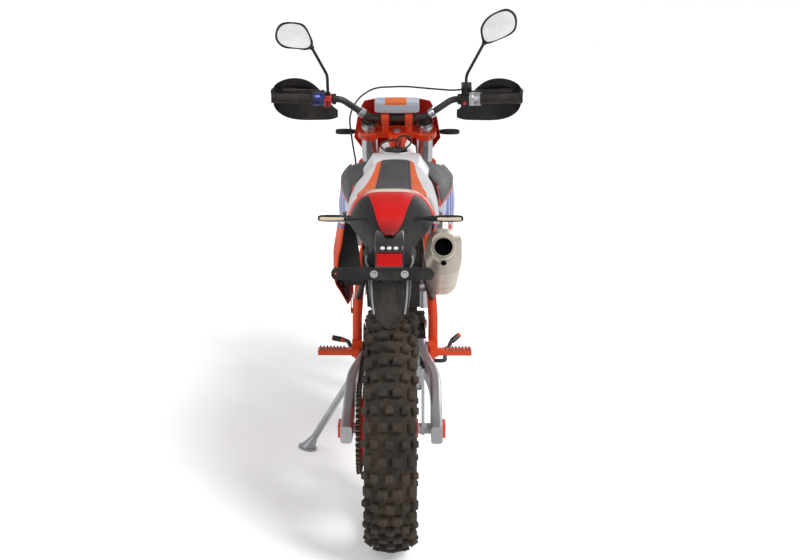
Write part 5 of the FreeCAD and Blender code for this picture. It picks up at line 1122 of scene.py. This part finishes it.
# Heights with the places across at each, outlines along and up, and how far each ledge row reaches in to the
# tank
shroud = {
    "heights": (0.55, 0.68, 0.80, 0.88, 0.95),
    "table": ((0.55, (0.116, 0.128, 0.134, 0.128, 0.100)), (0.75, (0.144, 0.160, 0.166, 0.158, 0.124)),
              (0.95, (0.172, 0.186, 0.192, 0.180, 0.136)), (1.16, (0.180, 0.192, 0.198, 0.188, 0.148))),
    "high": ((0.60, 0.846), (0.66, 0.905), (0.86, 0.915), (1.02, 0.925), (1.06, 0.895), (1.10, 0.851)),
    "low": ((0.60, 0.844), (0.82, 0.77), (0.915, 0.66), (0.995, 0.60), (1.035, 0.665), (1.075, 0.74),
            (1.10, 0.849)),
    "bladeLow": ((0.63, 0.862), (0.86, 0.858), (1.03, 0.866), (1.085, 0.864)),
    "bladeHigh": ((0.63, 0.874), (0.66, 0.903), (0.86, 0.913), (1.02, 0.923), (1.06, 0.893), (1.085, 0.866)),
    "ledge": ((0.69, 0.04), (0.73, 0.35), (0.78, 0.7), (0.83, 0.95), (0.88, 1.0), (0.93, 1.0), (0.985, 0.92)),
    "ledgeRise": ((0.0, -0.002), (0.12, 0.004), (0.4, 0.013), (0.7, 0.019), (1.0, 0.022)),
}


def shroudColour(tree, point, colour):
    x, y, z = splitPoint(tree, point)
    drawn = slantedBars(tree, point, mixColour(tree, noiseNode(tree, point, 6.0, 2.0), colour,
                                               tones["lavender"]), tones["blue"], (0.84, 0.815), (0.26, 0.09))
    edge = mathNode(tree, "GREATER_THAN", z, 0.853)
    lower = mathNode(tree, "LESS_THAN", z,
                     mathNode(tree, "SUBTRACT", 1.42, mathNode(tree, "MULTIPLY", y, 0.78)))
    drawn = mixColour(tree, mathNode(tree, "MULTIPLY", lower, mathNode(tree, "LESS_THAN", z, 0.752)), drawn,
                      tones["redOrange"])
    return mixColour(tree, edge, drawn, tone(204, 88, 74))


finishOf("shroudWhite", tone(224, 226, 236), 0.45, coat=0.05, wornAmount=0.15, dust=0.06, ior=1.3,
         pattern=shroudColour)
finishOf("bladeGrey", tone(74, 76, 80), 0.55, wornAmount=0.25, dust=0.12, grain=260, grainDepth=0.0003)


def ledgeAt(side):
    # the shroud's top, from the blade's upper edge in to the tank's flank
    rows = []
    for along, reach in flowing(shroud["ledge"], 3):
        edge = between(shroud["high"], along)
        sideHalf, low, topHalf, top = between([(row[0], row[3:]) for row in reversed(tank["rows"])], along)
        outer = surfaceAt(shroud["heights"], shroud["table"], along, edge) + 0.0015
        inner = sideHalf + (topHalf - sideHalf) * (edge + 0.022 - low) / (top - low) - 0.004
        rows.append([Vector((side * (outer + (inner - outer) * reach * share), along, edge + rise * reach))
                     for share, rise in shroud["ledgeRise"]])
    return sheetAt("shroudLedge", rows, 0.003, 0.0006, 0.0)


blades, shells = [ledgeAt(-1), ledgeAt(1)], []
for side in (-1, 1):
    shells.append(panelFrom("shroudShell", side, shroud["heights"], shroud["table"], shroud["low"],
                            shroud["high"], 0.003, 0.0, 48, 18))
    blades.append(panelFrom("shroudBlade", side, shroud["heights"], shroud["table"], shroud["bladeLow"],
                            shroud["bladeHigh"], 0.003, 0.0028, 40, 8))
finished(joinedUp("shroudShells", shells), "chassis", "shroudWhite", ["shrouds"])
finished(joinedUp("shroudBlades", blades), "chassis", "bladeGrey")

panelHeights = (0.56, 0.70, 0.80, 0.96)
sidePanels = {
    -1: (((0.0, (0.112, 0.124, 0.132, 0.124)), (0.22, (0.136, 0.168, 0.168, 0.140)),
          (0.45, (0.128, 0.144, 0.148, 0.132)), (0.66, (0.120, 0.124, 0.128, 0.120))),
         ((0.05, 0.924), (0.09, 0.84), (0.22, 0.70), (0.35, 0.605), (0.46, 0.60), (0.54, 0.70), (0.61, 0.839))),
    1: (((0.0, (0.088, 0.096, 0.108, 0.120)), (0.22, (0.088, 0.100, 0.112, 0.124)),
         (0.45, (0.096, 0.112, 0.124, 0.124)), (0.66, (0.112, 0.120, 0.124, 0.120))),
        ((0.05, 0.934), (0.10, 0.885), (0.36, 0.785), (0.47, 0.72), (0.54, 0.72), (0.61, 0.839))),
}
panelHigh = {-1: ((0.05, 0.926), (0.30, 0.895), (0.61, 0.841)),
             1: ((0.05, 0.936), (0.30, 0.895), (0.61, 0.841))}


def sideColour(tree, point, colour):
    x, y, z = splitPoint(tree, point)
    height = mathNode(tree, "ADD", z, mathNode(tree, "MULTIPLY", y, 0.16))
    top = mathNode(tree, "GREATER_THAN", height, 0.915)
    stripe = mathNode(tree, "LESS_THAN", mathNode(tree, "ABSOLUTE", mathNode(tree, "SUBTRACT", height, 0.907)),
                      0.004)
    return mixColour(tree, stripe, mixColour(tree, top, colour, tone(226, 226, 232)), tones["blue"])


finishOf("sideOrange", tone(226, 70, 16), 0.5, wornAmount=0.15, dust=0.05, ior=1.25, pattern=sideColour)
for side, word in ((-1, "Left"), (1, "Right")):
    table, low = sidePanels[side]
    outer = panelFrom("sidePanel" + word, side, panelHeights, table, low, panelHigh[side], 0.003, 0.0, 44, 16)
    finished(outer, "chassis", "sideOrange", ["side_panel_" + word.lower()])
    shorter = [(y, z + 0.012) for y, z in low[1:-1]]
    crown = [(y, z - 0.014) for y, z in panelHigh[side]]
    liner = panelFrom("sideLiner" + word, side, panelHeights, table, shorter, crown, 0.0012, -0.0036, 34, 10,
                      0.0)
    finished(liner, "chassis", "blackPlastic")


# Moulded orange loop that holds the stand, with a peg at each end
strap = {
    "rows": (-1, -0.86, -0.5, 0, 0.5, 0.86, 1),
    "middle": (-0.12, 0.268, 0.653),
    "pegUps": (-0.0455, 0.0455),
    "halfThick": 0.0028, "halfTall": 0.049, "halfWide": 0.0135, "wall": 0.0018, "pegHalf": 0.0138,
    "pegRadius": 0.0042,
}


def makeStrap():
    middle = Vector(strap["middle"])
    path = []
    for k in range(40):
        a = math.tau * k / 40
        pull = 0.72 + 0.28 * abs(math.sin(a))
        across, up = squared(a, 0.6, 0.9)
        path.append((strap["halfThick"] * pull * across, strap["halfTall"] * up))
    rows = []
    for share in strap["rows"]:
        thin = 0.0011 if abs(share) == 1 else 0.0
        rows.append([middle + Vector((x * (1 - thin), share * strap["halfWide"] * (1 + 0.1 * abs(z) / 0.05), z))
                     for x, z in path + path[:1]])
    band = walled(sheetFrom("standStrap", rows, True), strap["wall"], 1.0)
    ends = [rodAt("strapEnd", middle + Vector((0, -strap["pegHalf"], z)),
                  middle + Vector((0, strap["pegHalf"], z)), strap["pegRadius"], 0.001)
            for z in strap["pegUps"]]
    finished(joinedUp("standStrap", [shaded(cleaned(band, 0.00001), 50)] + ends), "chassis",
             "orangePlastic", ["stand_strap"])


makeStrap()


# Muffler's end: a bright ring round a near-black disc set just inside the bore, real soot and also painted
# shade standing for the pipe's dark depth
outlet = {
    "place": (0.138, -0.085, 0.871), "heading": (0.0, -0.93, 0.37), "bore": 0.0262, "boreDepth": 0.006,
    "ring": [(-0.030, 0.0265), (0.004, 0.0265), (0.0062, 0.0285), (0.0062, 0.0315), (0.003, 0.0335),
             (-0.006, 0.0335), (-0.010, 0.031)],
}


def makeOutlet():
    spot, heading, bore = Vector(outlet["place"]), Vector(outlet["heading"]).normalized(), outlet["bore"]
    ring = latheAt("outletRing", outlet["ring"], spot, heading, 44)
    floor = spot - heading * outlet["boreDepth"]
    # near-black disc closing the bore a little way in: painted shade of the hollow pipe, together with real
    # soot
    dark = latheAt("outletBoreShade", [(0, 0), (0, bore), (0.002, bore), (0.002, 0)], floor, heading, 32)
    finished(ring, "chassis", "outletBright")
    finished(dark, "chassis", "sootAndPaintedShade")


makeOutlet()
print("bodywork done")


# Cockpit, in the steering's own frame. The bar's outer run goes from its bend to its end.
bar = {"bend": 0.186, "end": 0.405, "run": 0.219, "ahead": 0.012, "up": 0.906, "sweep": 0.026, "rise": 0.020}


def barPlace(side, along):
    share = (along - bar["bend"]) / bar["run"]
    return Vector((side * along, bar["ahead"] - bar["sweep"] * share, bar["up"] + bar["rise"] * share))


def alongBar(name, side, start, profile, steps=32, angle=35):
    heading = barPlace(side, bar["end"]) - barPlace(side, bar["bend"])
    return latheAt(name, profile, barPlace(side, start), heading, steps, angle)


grip = {
    "start": 0.283, "ribs": 26, "firstRib": 0.0065, "ribStep": 0.0042,
    "rib": ((0.0, 0.0152), (0.0007, 0.0163), (0.0025, 0.0163), (0.0032, 0.0152)),
    "flange": ((-0.0005, 0.0112), (-0.0005, 0.023), (0.0008, 0.0242), (0.0030, 0.0242), (0.0042, 0.0225),
               (0.0048, 0.0168)),
    "cap": ((0.1165, 0.0165), (0.1195, 0.0176), (0.1215, 0.0170), (0.1222, 0.0130), (0.1222, 0.0)),
}


def makeGrips():
    profile = list(grip["flange"])
    for k in range(grip["ribs"]):
        start = grip["firstRib"] + k * grip["ribStep"]
        profile += [(start + along, radius) for along, radius in grip["rib"]]
    profile += grip["cap"]
    pieces = [alongBar("grip", side, grip["start"], profile, 40) for side in (-1, 1)]
    finished(joinedUp("gripRibs", pieces), "steering", "gripRubber", ["grips"], steer)


makeGrips()
cushion = {
    "half": 0.0755, "ahead": 0.012, "up": 0.8823, "deep": 0.0172, "tall": 0.0250, "corner": 0.45,
    "swell": 0.035,
    "sizes": ((-1.0, 0.55), (-0.97, 0.80), (-0.86, 0.95), (-0.4, 1.0), (0.4, 1.0), (0.86, 0.95), (0.97, 0.80),
              (1.0, 0.55)),
    "patchHalf": 0.036, "patchMiddle": -0.004, "patchUp": 0.893,
}


def padColour(tree, point, colour):
    x, y, z = splitPoint(tree, point)
    wave = mathNode(tree, "SINE", mathNode(tree, "MULTIPLY_ADD", x, 95.0, mathNode(tree, "MULTIPLY", y, 60.0)))
    band = mathNode(tree, "SINE", mathNode(tree, "ADD", mathNode(tree, "MULTIPLY", z, 520.0),
                                           mathNode(tree, "MULTIPLY", wave, 1.5)))
    lined = mixColour(tree, rampNode(tree, band, 0.55, 0.8), colour, tone(150, 176, 214))
    across = mathNode(tree, "ABSOLUTE", mathNode(tree, "SUBTRACT", x, cushion["patchMiddle"]))
    patch = mathNode(tree, "MULTIPLY", mathNode(tree, "LESS_THAN", across, cushion["patchHalf"]),
                     mathNode(tree, "GREATER_THAN", z, cushion["patchUp"]))
    return mixColour(tree, patch, lined, tone(226, 106, 38))


finishOf("padCover", tone(186, 188, 192), 0.66, wornAmount=0.12, dust=0.1, grain=700, grainDepth=0.0003,
         sheen=0.2, local=steer, pattern=padColour)


def makePad():
    rings = []
    for along, size in flowing(cushion["sizes"], 5):
        swell = 1 - cushion["swell"] * along * along
        deep, tall = cushion["deep"] * swell * size ** 0.5, cushion["tall"] * swell * size ** 0.5
        ring = [squared(math.tau * k / 28, cushion["corner"]) for k in range(28)]
        rings.append([Vector((cushion["half"] * along, cushion["ahead"] + deep * y, cushion["up"] + tall * z))
                      for y, z in ring])
    pad = shaded(closedLoft("barPad", rings), 60)
    pad = smoothed(pad, 1)
    finished(pad, "steering", "padCover", ["bar_pad"], steer)


makePad()


# Bar fittings: switch housings, perches, clamp rings, levers, fork caps and nuts
fittings = {
    "housing": [(0, 0.0165), (0, 0.0205), (0.0016, 0.0222), (0.0150, 0.0222), (0.0165, 0.0212),
                (0.0182, 0.0212), (0.0197, 0.0222), (0.0382, 0.0222), (0.0398, 0.0206), (0.0398, 0.0165)],
    "perch": [(0, 0.0120), (0, 0.0172), (0.0012, 0.0184), (0.0205, 0.0184), (0.0217, 0.0172), (0.0217, 0.0120)],
    "button": [(0, 0), (0, 0.0060), (0.006, 0.0060), (0.0078, 0.0046), (0.0078, 0)],
    "key": [(0, 0), (0, 0.0042), (0.0022, 0.0042), (0.0030, 0.0034), (0.0030, 0)],
    "barRing": [(0, 0.0108), (0, 0.0150), (0.0012, 0.0164), (0.0190, 0.0164), (0.0203, 0.0150),
                (0.0203, 0.0108)],
    "lever": ((0.229, 0.014, 0.894), (0.236, 0.034, 0.884), (0.262, 0.046, 0.876), (0.330, 0.046, 0.876),
              (0.394, 0.040, 0.879)),
    "nut": [(0, 0), (0, 0.0150), (0.0090, 0.0150), (0.0108, 0.0132), (0.0108, 0)],
    "forkCap": [(0, 0), (0, 0.0268), (0.0030, 0.0268), (0.0042, 0.0255), (0.0042, 0.0185), (0.0120, 0.0172),
                (0.0120, 0)],
    "forkDial": [(0, 0), (0, 0.0075), (0.0040, 0.0068), (0.0040, 0)],
    "pinchBolts": (0.620, 0.633, 0.7678),
    "housingAt": 0.2428, "perchAt": 0.2202,
}


def makeFittings():
    finished(alongBar("switchHousing", -1, fittings["housingAt"], fittings["housing"], 36), "steering",
             "blueAnodised", frameOf=steer)
    finished(alongBar("throttleHousing", 1, fittings["housingAt"], fittings["housing"], 36), "steering",
             "silverCast", frameOf=steer)
    redParts = [alongBar("clutchPerch", -1, fittings["perchAt"], fittings["perch"], 32)]
    middle = barPlace(-1, 0.232)
    redParts.append(blockAt("switchBox", middle + Vector((-0.011, -0.031, -0.014)),
                            middle + Vector((0.011, -0.014, 0.014)), 0.003, 3))
    middle = barPlace(1, 0.226)
    redParts.append(latheAt("stopButton", fittings["button"], middle + Vector((0, -0.030, 0.004)), (0, -1, 0.2),
                            20))
    finished(joinedUp("clutchPerch", redParts), "steering", "redPlastic", frameOf=steer)
    blackParts = [alongBar("brakePerch", 1, fittings["perchAt"], fittings["perch"], 32)]
    blackParts.append(blockAt("stopBox", middle + Vector((-0.012, -0.031, -0.013)),
                              middle + Vector((0.012, -0.014, 0.015)), 0.003, 3))
    for z in (-0.006, 0.006):
        spot = barPlace(-1, 0.232) + Vector((0, -0.0305, z))
        blackParts.append(latheAt("switchKey", fittings["key"], spot, (0, -1, 0), 20))
    finished(joinedUp("brakePerch", blackParts), "steering", "blackPlastic", frameOf=steer)
    rings = []
    for side in (-1, 1):
        start, end = Vector((side * 0.112, 0.012, 0.8468)), Vector((side * 0.128, 0.012, 0.8596))
        rings.append(latheAt("barRing", fittings["barRing"], start, end - start, 28))
        rings.append(boltAt("ringBolt", (side * 0.120, -0.0035, 0.8532), (0, -1, 0), 0.0034, 0.004, 1.25))
        blade = [(side * x, y, z) for x, y, z in fittings["lever"]]
        rings.append(tubeAlong("handLever", blade, 0.0062, 12, steps=6, flat=0.62))
        rings.append(boltAt("guardBolt", barPlace(side, 0.404) + Vector((side * 0.003, 0, 0)),
                            (side, -0.1, 0.08), 0.0075, 0.006, 1.3))
    rings.append(latheAt("steeringNut", fittings["nut"], (0, 0.0, 0.7783), (0, 0, 1), 6, 20))
    finished(joinedUp("barFittings", rings), "steering", "boltSilver", frameOf=steer)
    caps, dials, bolts = [], [], []
    for side in (-1, 1):
        caps.append(latheAt("forkCap", fittings["forkCap"], (side * 0.095, 0.022, 0.8088), (0, 0, 1), 40))
        dials.append(latheAt("forkDial", fittings["forkDial"], (side * 0.095, 0.022, 0.8205), (0, 0, 1), 24))
        for z in fittings["pinchBolts"]:
            bolts.append(boltAt("pinchBolt", (side * 0.120, -0.0105, z), (0, -1, 0), 0.0036, 0.004, 1.2))
    finished(joinedUp("forkCaps", caps), "steering", "blackPaint", frameOf=steer)
    finished(joinedUp("forkDials", dials), "steering", "orangePlastic", frameOf=steer)
    finished(joinedUp("pinchBolts", bolts), "steering", "boltSilver", frameOf=steer)


makeFittings()


# Mirror glass set in a thin rim, the glass painted near-white as a painted reflection of the pale surroundings
mirrors = {  # middle across and up, then the outline in shares of the size
    -1: (-0.335, 1.356, ((-1.06, 0.29), (-0.71, 0.74), (0, 0.80), (0.59, 0.65), (0.95, 0.06), (1.09, -0.50),
                         (0.84, -0.77), (0.18, -0.75), (-0.71, -0.62), (-1.08, -0.18))),
    1: (0.335, 1.386, ((-1.06, 0), (-0.71, 0.53), (-0.12, 0.89), (0.47, 1.03), (0.89, 0.77), (1.03, 0.24),
                       (0.89, -0.24), (0.36, -0.59), (-0.36, -0.89), (-0.86, -0.96), (-1.06, -0.47))),
    "rim": ((0.0518, 0.9495), (0.0522, 0.9484), (0.0545, 0.9482), (0.0560, 0.9492), (0.0566, 0.954),
            (0.0560, 0.962)),
    "size": 0.0515, "glass": (0.9488, 0.953),
}
# near-white base with little metal: a painted reflection standing in for the mirror reflecting the white studio
finishOf("mirrorPaintedReflection", tone(250, 252, 252), 0.12, metal=0.2, wornAmount=0.05, dust=0.04)
glasses, rims = [], []
for side in (-1, 1):
    x, z, outline = mirrors[side]
    smooth = eased(outline, 2)
    glasses.append(slabAt("mirrorGlass", [(x + mirrors["size"] * a, z + mirrors["size"] * b)
                                          for a, b in smooth], 1, *mirrors["glass"], 0.0008))
    rows = []
    for size, lift in mirrors["rim"]:
        rows.append([Vector((x + size * a, lift, z + size * b)) for a, b in smooth + smooth[:1]])
    rims.append(shaded(cleaned(walled(sheetFrom("mirrorRim", rows, True), 0.0009, -1.0), 0.00001), 45))
finished(joinedUp("mirrorGlass", glasses), "steering", "mirrorPaintedReflection")
finished(joinedUp("mirrorRims", rims), "steering", "blackPlastic")
print("cockpit done")


# Footpeg teeth, and the black shield behind the left panel
peg = {
    "tooth": [(0, 0), (0, 0.0038), (0.0062, 0.0012), (0.0062, 0)],
    "teeth": 8, "first": 0.160, "step": 0.0105, "rows": (0.5245, 0.5555), "up": 0.4135,
}
shield = {
    "rows": ((0.905, 0.118, 0.150), (0.86, 0.105, 0.156), (0.80, 0.096, 0.158), (0.74, 0.090, 0.150),
             (0.70, 0.088, 0.136)),
    "along": 0.196, "bow": 0.004, "wall": 0.002,
}
teeth = []
for side in (-1, 1):
    for k in range(peg["teeth"]):
        for along in peg["rows"]:
            spot = Vector((side * (peg["first"] + k * peg["step"]), along, peg["up"]))
            teeth.append(latheAt("pegTooth", peg["tooth"], spot, (0, 0, 1), 4, 20))
finished(joinedUp("pegTeeth", teeth), "chassis", "steel")
shieldRows = []
for up, low, high in shield["rows"]:
    bowed = [(share, shield["along"] + shield["bow"] * math.sin(math.pi * share))
             for share in (0, 0.25, 0.5, 0.75, 1)]
    shieldRows.append([Vector((-(low + (high - low) * share), along, up)) for share, along in bowed])
finished(sheetAt("splashShield", shieldRows, shield["wall"], 0.0), "chassis", "blackPlastic")
print("pegs and shield done")


# Steel nipples where the spokes meet the rims
nipples = {
    "perSide": 16, "crossDeg": 38, "rimAcross": 0.006, "depth": 0.017,
    "form": [(0, 0.0021), (0.001, 0.0032), (0.011, 0.0032), (0.0135, 0.0038), (0.0135, 0.0021)],
    "wheels": {  # flange's place and radius, rim's radius
        "rear_wheel": (rearWheel, 0.030, 0.040, 0.241), "front_wheel": (frontWheel, 0.024, 0.032, 0.280),},
}


def makeNipples(body, wheel, flangeAt, flangeRadius, rimRadius):
    pieces, count = [], nipples["perSide"]
    for side in (-1, 1):
        for i in range(count):
            base = math.tau * (i + side / 4) / count
            turned = base + math.radians(nipples["crossDeg"]) * (1 if i % 2 else -1)
            near, far = flangeRadius - 0.006, rimRadius - 0.004
            inner = Vector((side * flangeAt, near * math.cos(base), near * math.sin(base)))
            outer = Vector((side * nipples["rimAcross"], far * math.cos(turned), far * math.sin(turned)))
            heading = (outer - inner).normalized()
            outward = Vector((0, math.cos(turned), math.sin(turned)))
            end = outer - heading * (nipples["depth"] - 0.004) / heading.dot(outward)
            pieces.append(latheAt("nipple", nipples["form"], wheel @ (end - heading * 0.0133), heading, 8))
    finished(joinedUp(body.replace("_wheel", "Nipples"), pieces), body, "boltSilver")


for body, numbers in nipples["wheels"].items():
    makeNipples(body, *numbers)


# Hubs, axle blocks, headlight and sprocket carrier
def hubColour(steel, reach):
    def pattern(tree, point, colour):
        x, y, z = splitPoint(tree, point)
        square = mathNode(tree, "MULTIPLY_ADD", y, y, mathNode(tree, "MULTIPLY", z, z))
        return mixColour(tree, mathNode(tree, "GREATER_THAN", square, reach * reach), colour, steel)
    return pattern


def axleColour(tree, point, colour):
    across = mathNode(tree, "ABSOLUTE", splitPoint(tree, point)[0])
    return mixColour(tree, mathNode(tree, "LESS_THAN", across, 0.116), colour, tones["silver"])


finishOf("rearHub", tone(222, 38, 22), 0.3, metal=0.4, wornAmount=0.2, dust=0.08, coat=0.15, local=rearWheel,
         pattern=hubColour(tones["steel"], 0.046))
finishOf("frontHub", tone(226, 60, 20), 0.3, metal=0.4, wornAmount=0.2, dust=0.08, coat=0.15, local=frontWheel,
         pattern=hubColour(tones["steel"], 0.038))
finishOf("sprocketRed", tone(224, 48, 18), 0.3, metal=0.4, wornAmount=0.25, dust=0.1, coat=0.15,
         local=rearWheel, pattern=hubColour(tone(188, 156, 96), 0.1175))
finishOf("axleBlocks", tones["orange"], 0.3, metal=0.2, wornAmount=0.2, dust=0.08, coat=0.2, pattern=axleColour)


def lensColour(tree, point, colour):
    x, y, z = splitPoint(tree, point)
    ribs = rampNode(tree, mathNode(tree, "SINE", mathNode(tree, "MULTIPLY", x, 620.0)), 0.2, 0.9)
    return mixColour(tree, mathNode(tree, "GREATER_THAN", y, 0.118), tone(24, 24, 26),
                     mixColour(tree, ribs, colour, tone(150, 152, 156)))


finishOf("headlightLens", tone(224, 222, 210), 0.1, coat=0.6, wornAmount=0.05, dust=0.05, local=steer,
         pattern=lensColour)
hubCarrier = {
    "across": -0.0858,
    "form": [(0, 0.058), (0, 0.083), (0.0015, 0.0845), (0.008, 0.0845), (0.0105, 0.079), (0.018, 0.070),
             (0.0195, 0.060), (0.0195, 0.026), (0.013, 0.026), (0.010, 0.058)],
}
carrier = latheAt("sprocketCarrier", hubCarrier["form"], rearWheel @ Vector((hubCarrier["across"], 0, 0)),
                  (1, 0, 0), 56)
finishOf("carrierRed", tone(214, 26, 20), 0.3, metal=0.3, wornAmount=0.2, dust=0.08, coat=0.15)
finished(carrier, "rear_wheel", "carrierRed")


# Cover bolts and ribs on the engine, lever tips, caliper bolts, grey painted highlight strips along the
# carrier's side edges and the muffler's rivet.
# A cover is its side, its middle along and up, its bolts' ring and its face; a rib its side, middle and radius.
engine = {
    "fillerCap": [(0, 0), (0, 0.013), (0.003, 0.0142), (0.009, 0.0142), (0.010, 0.013), (0.010, 0)],
    "covers": ((1, 0.765, 0.405, 0.064, 0.0918), (-1, 0.835, 0.405, 0.049, 0.0918)),
    "ribs": ((-1, 0.835, 0.405, 0.040), (-1, 0.835, 0.405, 0.024), (1, 0.765, 0.405, 0.071)),
}


def makeEngineDetails():
    pieces = []
    for side, along, up, radius, face in engine["covers"]:
        for k in range(8):
            a = math.tau * (k + 0.5) / 8
            pieces.append(boltAt("coverBolt", (side * face, along + radius * math.cos(a),
                                               up + radius * math.sin(a)), (side, 0, 0), 0.0034, 0.0035, 1.35))
    pieces.append(boltAt("drainBolt", (0.0, 0.79, 0.3032), (0, 0, -1), 0.009, 0.005, 1.3))
    pieces.append(latheAt("fillerCap", engine["fillerCap"], (0.0915, 0.70, 0.452), (1, 0, 0), 12, 20))
    for k in range(4):
        a = math.tau * (k + 0.5) / 4
        pieces.append(boltAt("hubBolt", (0.0972, 0.765 + 0.036 * math.cos(a), 0.405 + 0.036 * math.sin(a)),
                             (1, 0, 0), 0.003, 0.003, 1.3))
    finished(joinedUp("coverBolts", pieces), "chassis", "boltSilver")
    rings = [latheAt("coverRib", [(0, radius - 0.003), (0, radius), (0.0022, radius - 0.0004),
                                  (0.0022, radius - 0.0026)], (side * 0.0914, along, up), (side, 0, 0), 48)
             for side, along, up, radius in engine["ribs"]]
    finished(joinedUp("coverRibs", rings), "chassis", "engineDark")


makeEngineDetails()


def tipAt(name, start, end, radius):
    start, end = Vector(start), Vector(end)
    reach = (end - start).length
    profile = [(0, 0), (0, radius * 0.86), (reach * 0.06, radius)]
    for k in range(5):
        middle = reach * (0.16 + 0.17 * k)
        profile += [(middle, radius), (middle + reach * 0.03, radius * 0.86), (middle + reach * 0.06, radius)]
    profile += [(reach * 0.97, radius), (reach, radius * 0.8), (reach, 0)]
    return latheAt(name, profile, start, end - start, 20)


tips = [tipAt("leverTip", (-0.168, 0.7315, 0.3871), (-0.208, 0.7365, 0.3941), 0.0086),
        tipAt("pedalTip", (0.184, 0.7238, 0.3875), (0.2085, 0.7467, 0.4028), 0.0086)]
finished(joinedUp("footTips", tips), "chassis", "orangePlastic")
bolts = [boltAt("caliperBolt", (0.0822, along, up), (1, 0, 0), 0.0048, 0.004, 1.3)
         for along, up in ((0.094, 0.432), (0.150, 0.438))]
finished(joinedUp("rearCaliperBolts", bolts), "chassis", "boltSilver")
# Grey strips along the black carrier's side edges: a painted highlight of light caught on the flange edges, not
# a grey part
highlightStrips = []
for side in (-1, 1):
    line = [(side * x, flapAlong(z) - 0.0012, z) for x, z in flowing(tail["edge"], 3)]
    highlightStrips.append(tubeAlong("carrierHighlightStrip", line, 0.0034, 8, steps=2, flat=0.5))
finishOf("paintedHighlightGrey", tone(150, 150, 152), 0.35, coat=0.2, wornAmount=0.2, dust=0.08)
finished(joinedUp("carrierHighlightStrips", highlightStrips), "chassis", "paintedHighlightGrey")
rivet = latheAt("mufflerRivet", [(0, 0), (0, 0.0078), (0.0010, 0.0072), (0.0014, 0.0040), (0.0014, 0)],
                (0.1385, -0.0985, 0.8318), (0, -0.93, -0.37), 16)
finished(rivet, "chassis", "sootAndPaintedShade")
print("details done")


# Nodes whose shape stays get their finishes
dressed = {
    "frameOrange": ("frame", "front_axle", "footpegs", "shock"),
    "axleBlocks": ("rear_axle",),
    "rearHub": ("rear_hub",),
    "frontHub": ("front_hub",),
    "sprocketRed": ("rear_sprocket",),
    "castOrange": ("triple_clamps",),
    "blackPaint": ("subframe", "rear_rim", "front_rim", "handlebar", "bar_controls", "brake_pedal",
                   "shift_lever"),
    "silverCast": ("swingarm", "rear_caliper", "cylinder", "radiators", "front_caliper", "side_stand"),
    "engineDark": ("crankcase",),
    "steel": ("exhaust", "rear_disc", "front_disc", "drive_sprocket"),
    "silverSmooth": ("fork_tubes", "fork_legs"),
    "titanium": ("muffler",),
    "whitePlastic": ("front_fender",),
    "blackPlastic": ("tank_cap", "airbox", "plate_bracket", "drive_cover", "handguards", "mirrors"),
    "maskPlastic": ("headlight_mask",),
    "headlightLens": ("headlight",),
    "rubber": ("brake_hose", "vent_hose"),
}
for finish, names in dressed.items():
    for name in names:
        nodes[name].data.materials.clear()
        nodes[name].data.materials.append(finishes[finish])


# Studio
def addStudio():
    world = bpy.data.worlds.new("studio")
    bpy.context.scene.world = world
    world.use_nodes = True
    tree = world.node_tree
    back = tree.nodes["Background"]
    back.inputs["Color"].default_value = (1, 1, 1, 1)
    rays = tree.nodes.new("ShaderNodeLightPath")
    seen = mathNode(tree, "MAXIMUM", rays.outputs["Is Camera Ray"], rays.outputs["Is Transmission Ray"])
    tree.links.new(rampNode(tree, seen, 0.0, 1.0, studio["fill"], 1.0), back.inputs["Strength"])
    deselect()
    bpy.ops.mesh.primitive_plane_add(size=studio["floor"], location=(0, 0, -0.0005))
    floor = bpy.context.object
    floor.name = "studioFloor"
    surface = bpy.data.materials.new("paleFloor")
    surface.use_nodes = True
    shader = surface.node_tree.nodes["Principled BSDF"]
    shader.inputs["Base Color"].default_value = (*studio["floorColour"], 1)
    shader.inputs["Roughness"].default_value = 0.9
    shader.inputs["Specular IOR Level"].default_value = 0.0
    shader.inputs["Emission Strength"].default_value = studio["floorGlow"]
    paths = surface.node_tree.nodes.new("ShaderNodeLightPath")
    surface.node_tree.links.new(mixColour(surface.node_tree, paths.outputs["Is Camera Ray"], (0, 0, 0),
                                          (1, 1, 1)), shader.inputs["Emission Color"])
    floor.data.materials.append(surface)
    for name, kind, place, energy, size in studio["lamps"]:
        data = bpy.data.lights.new(name, kind)
        data.energy = energy
        if kind == "SUN":
            data.angle = math.radians(size)
        else:
            data.size = size
        lamp = bpy.data.objects.new(name, data)
        bpy.context.scene.collection.objects.link(lamp)
        lamp.location = place
        lamp.rotation_euler = (Vector((0, -0.1, 0.6)) - Vector(place)).to_track_quat("-Z", "Y").to_euler()
    bpy.context.scene.view_settings.view_transform = "Standard"


studio = {
    "fill": 0.42, "floor": 60.0, "floorColour": (0.9, 0.9, 0.9), "floorGlow": 0.3,
    "lamps": (("keySun", "SUN", (2.2, -2.6, 5.0), 1.9, 24), ("sideSoft", "AREA", (-3.0, -2.4, 2.2), 30, 2.5),
              ("backSoft", "AREA", (1.5, 3.6, 2.6), 40, 2.5)),
}
addStudio()
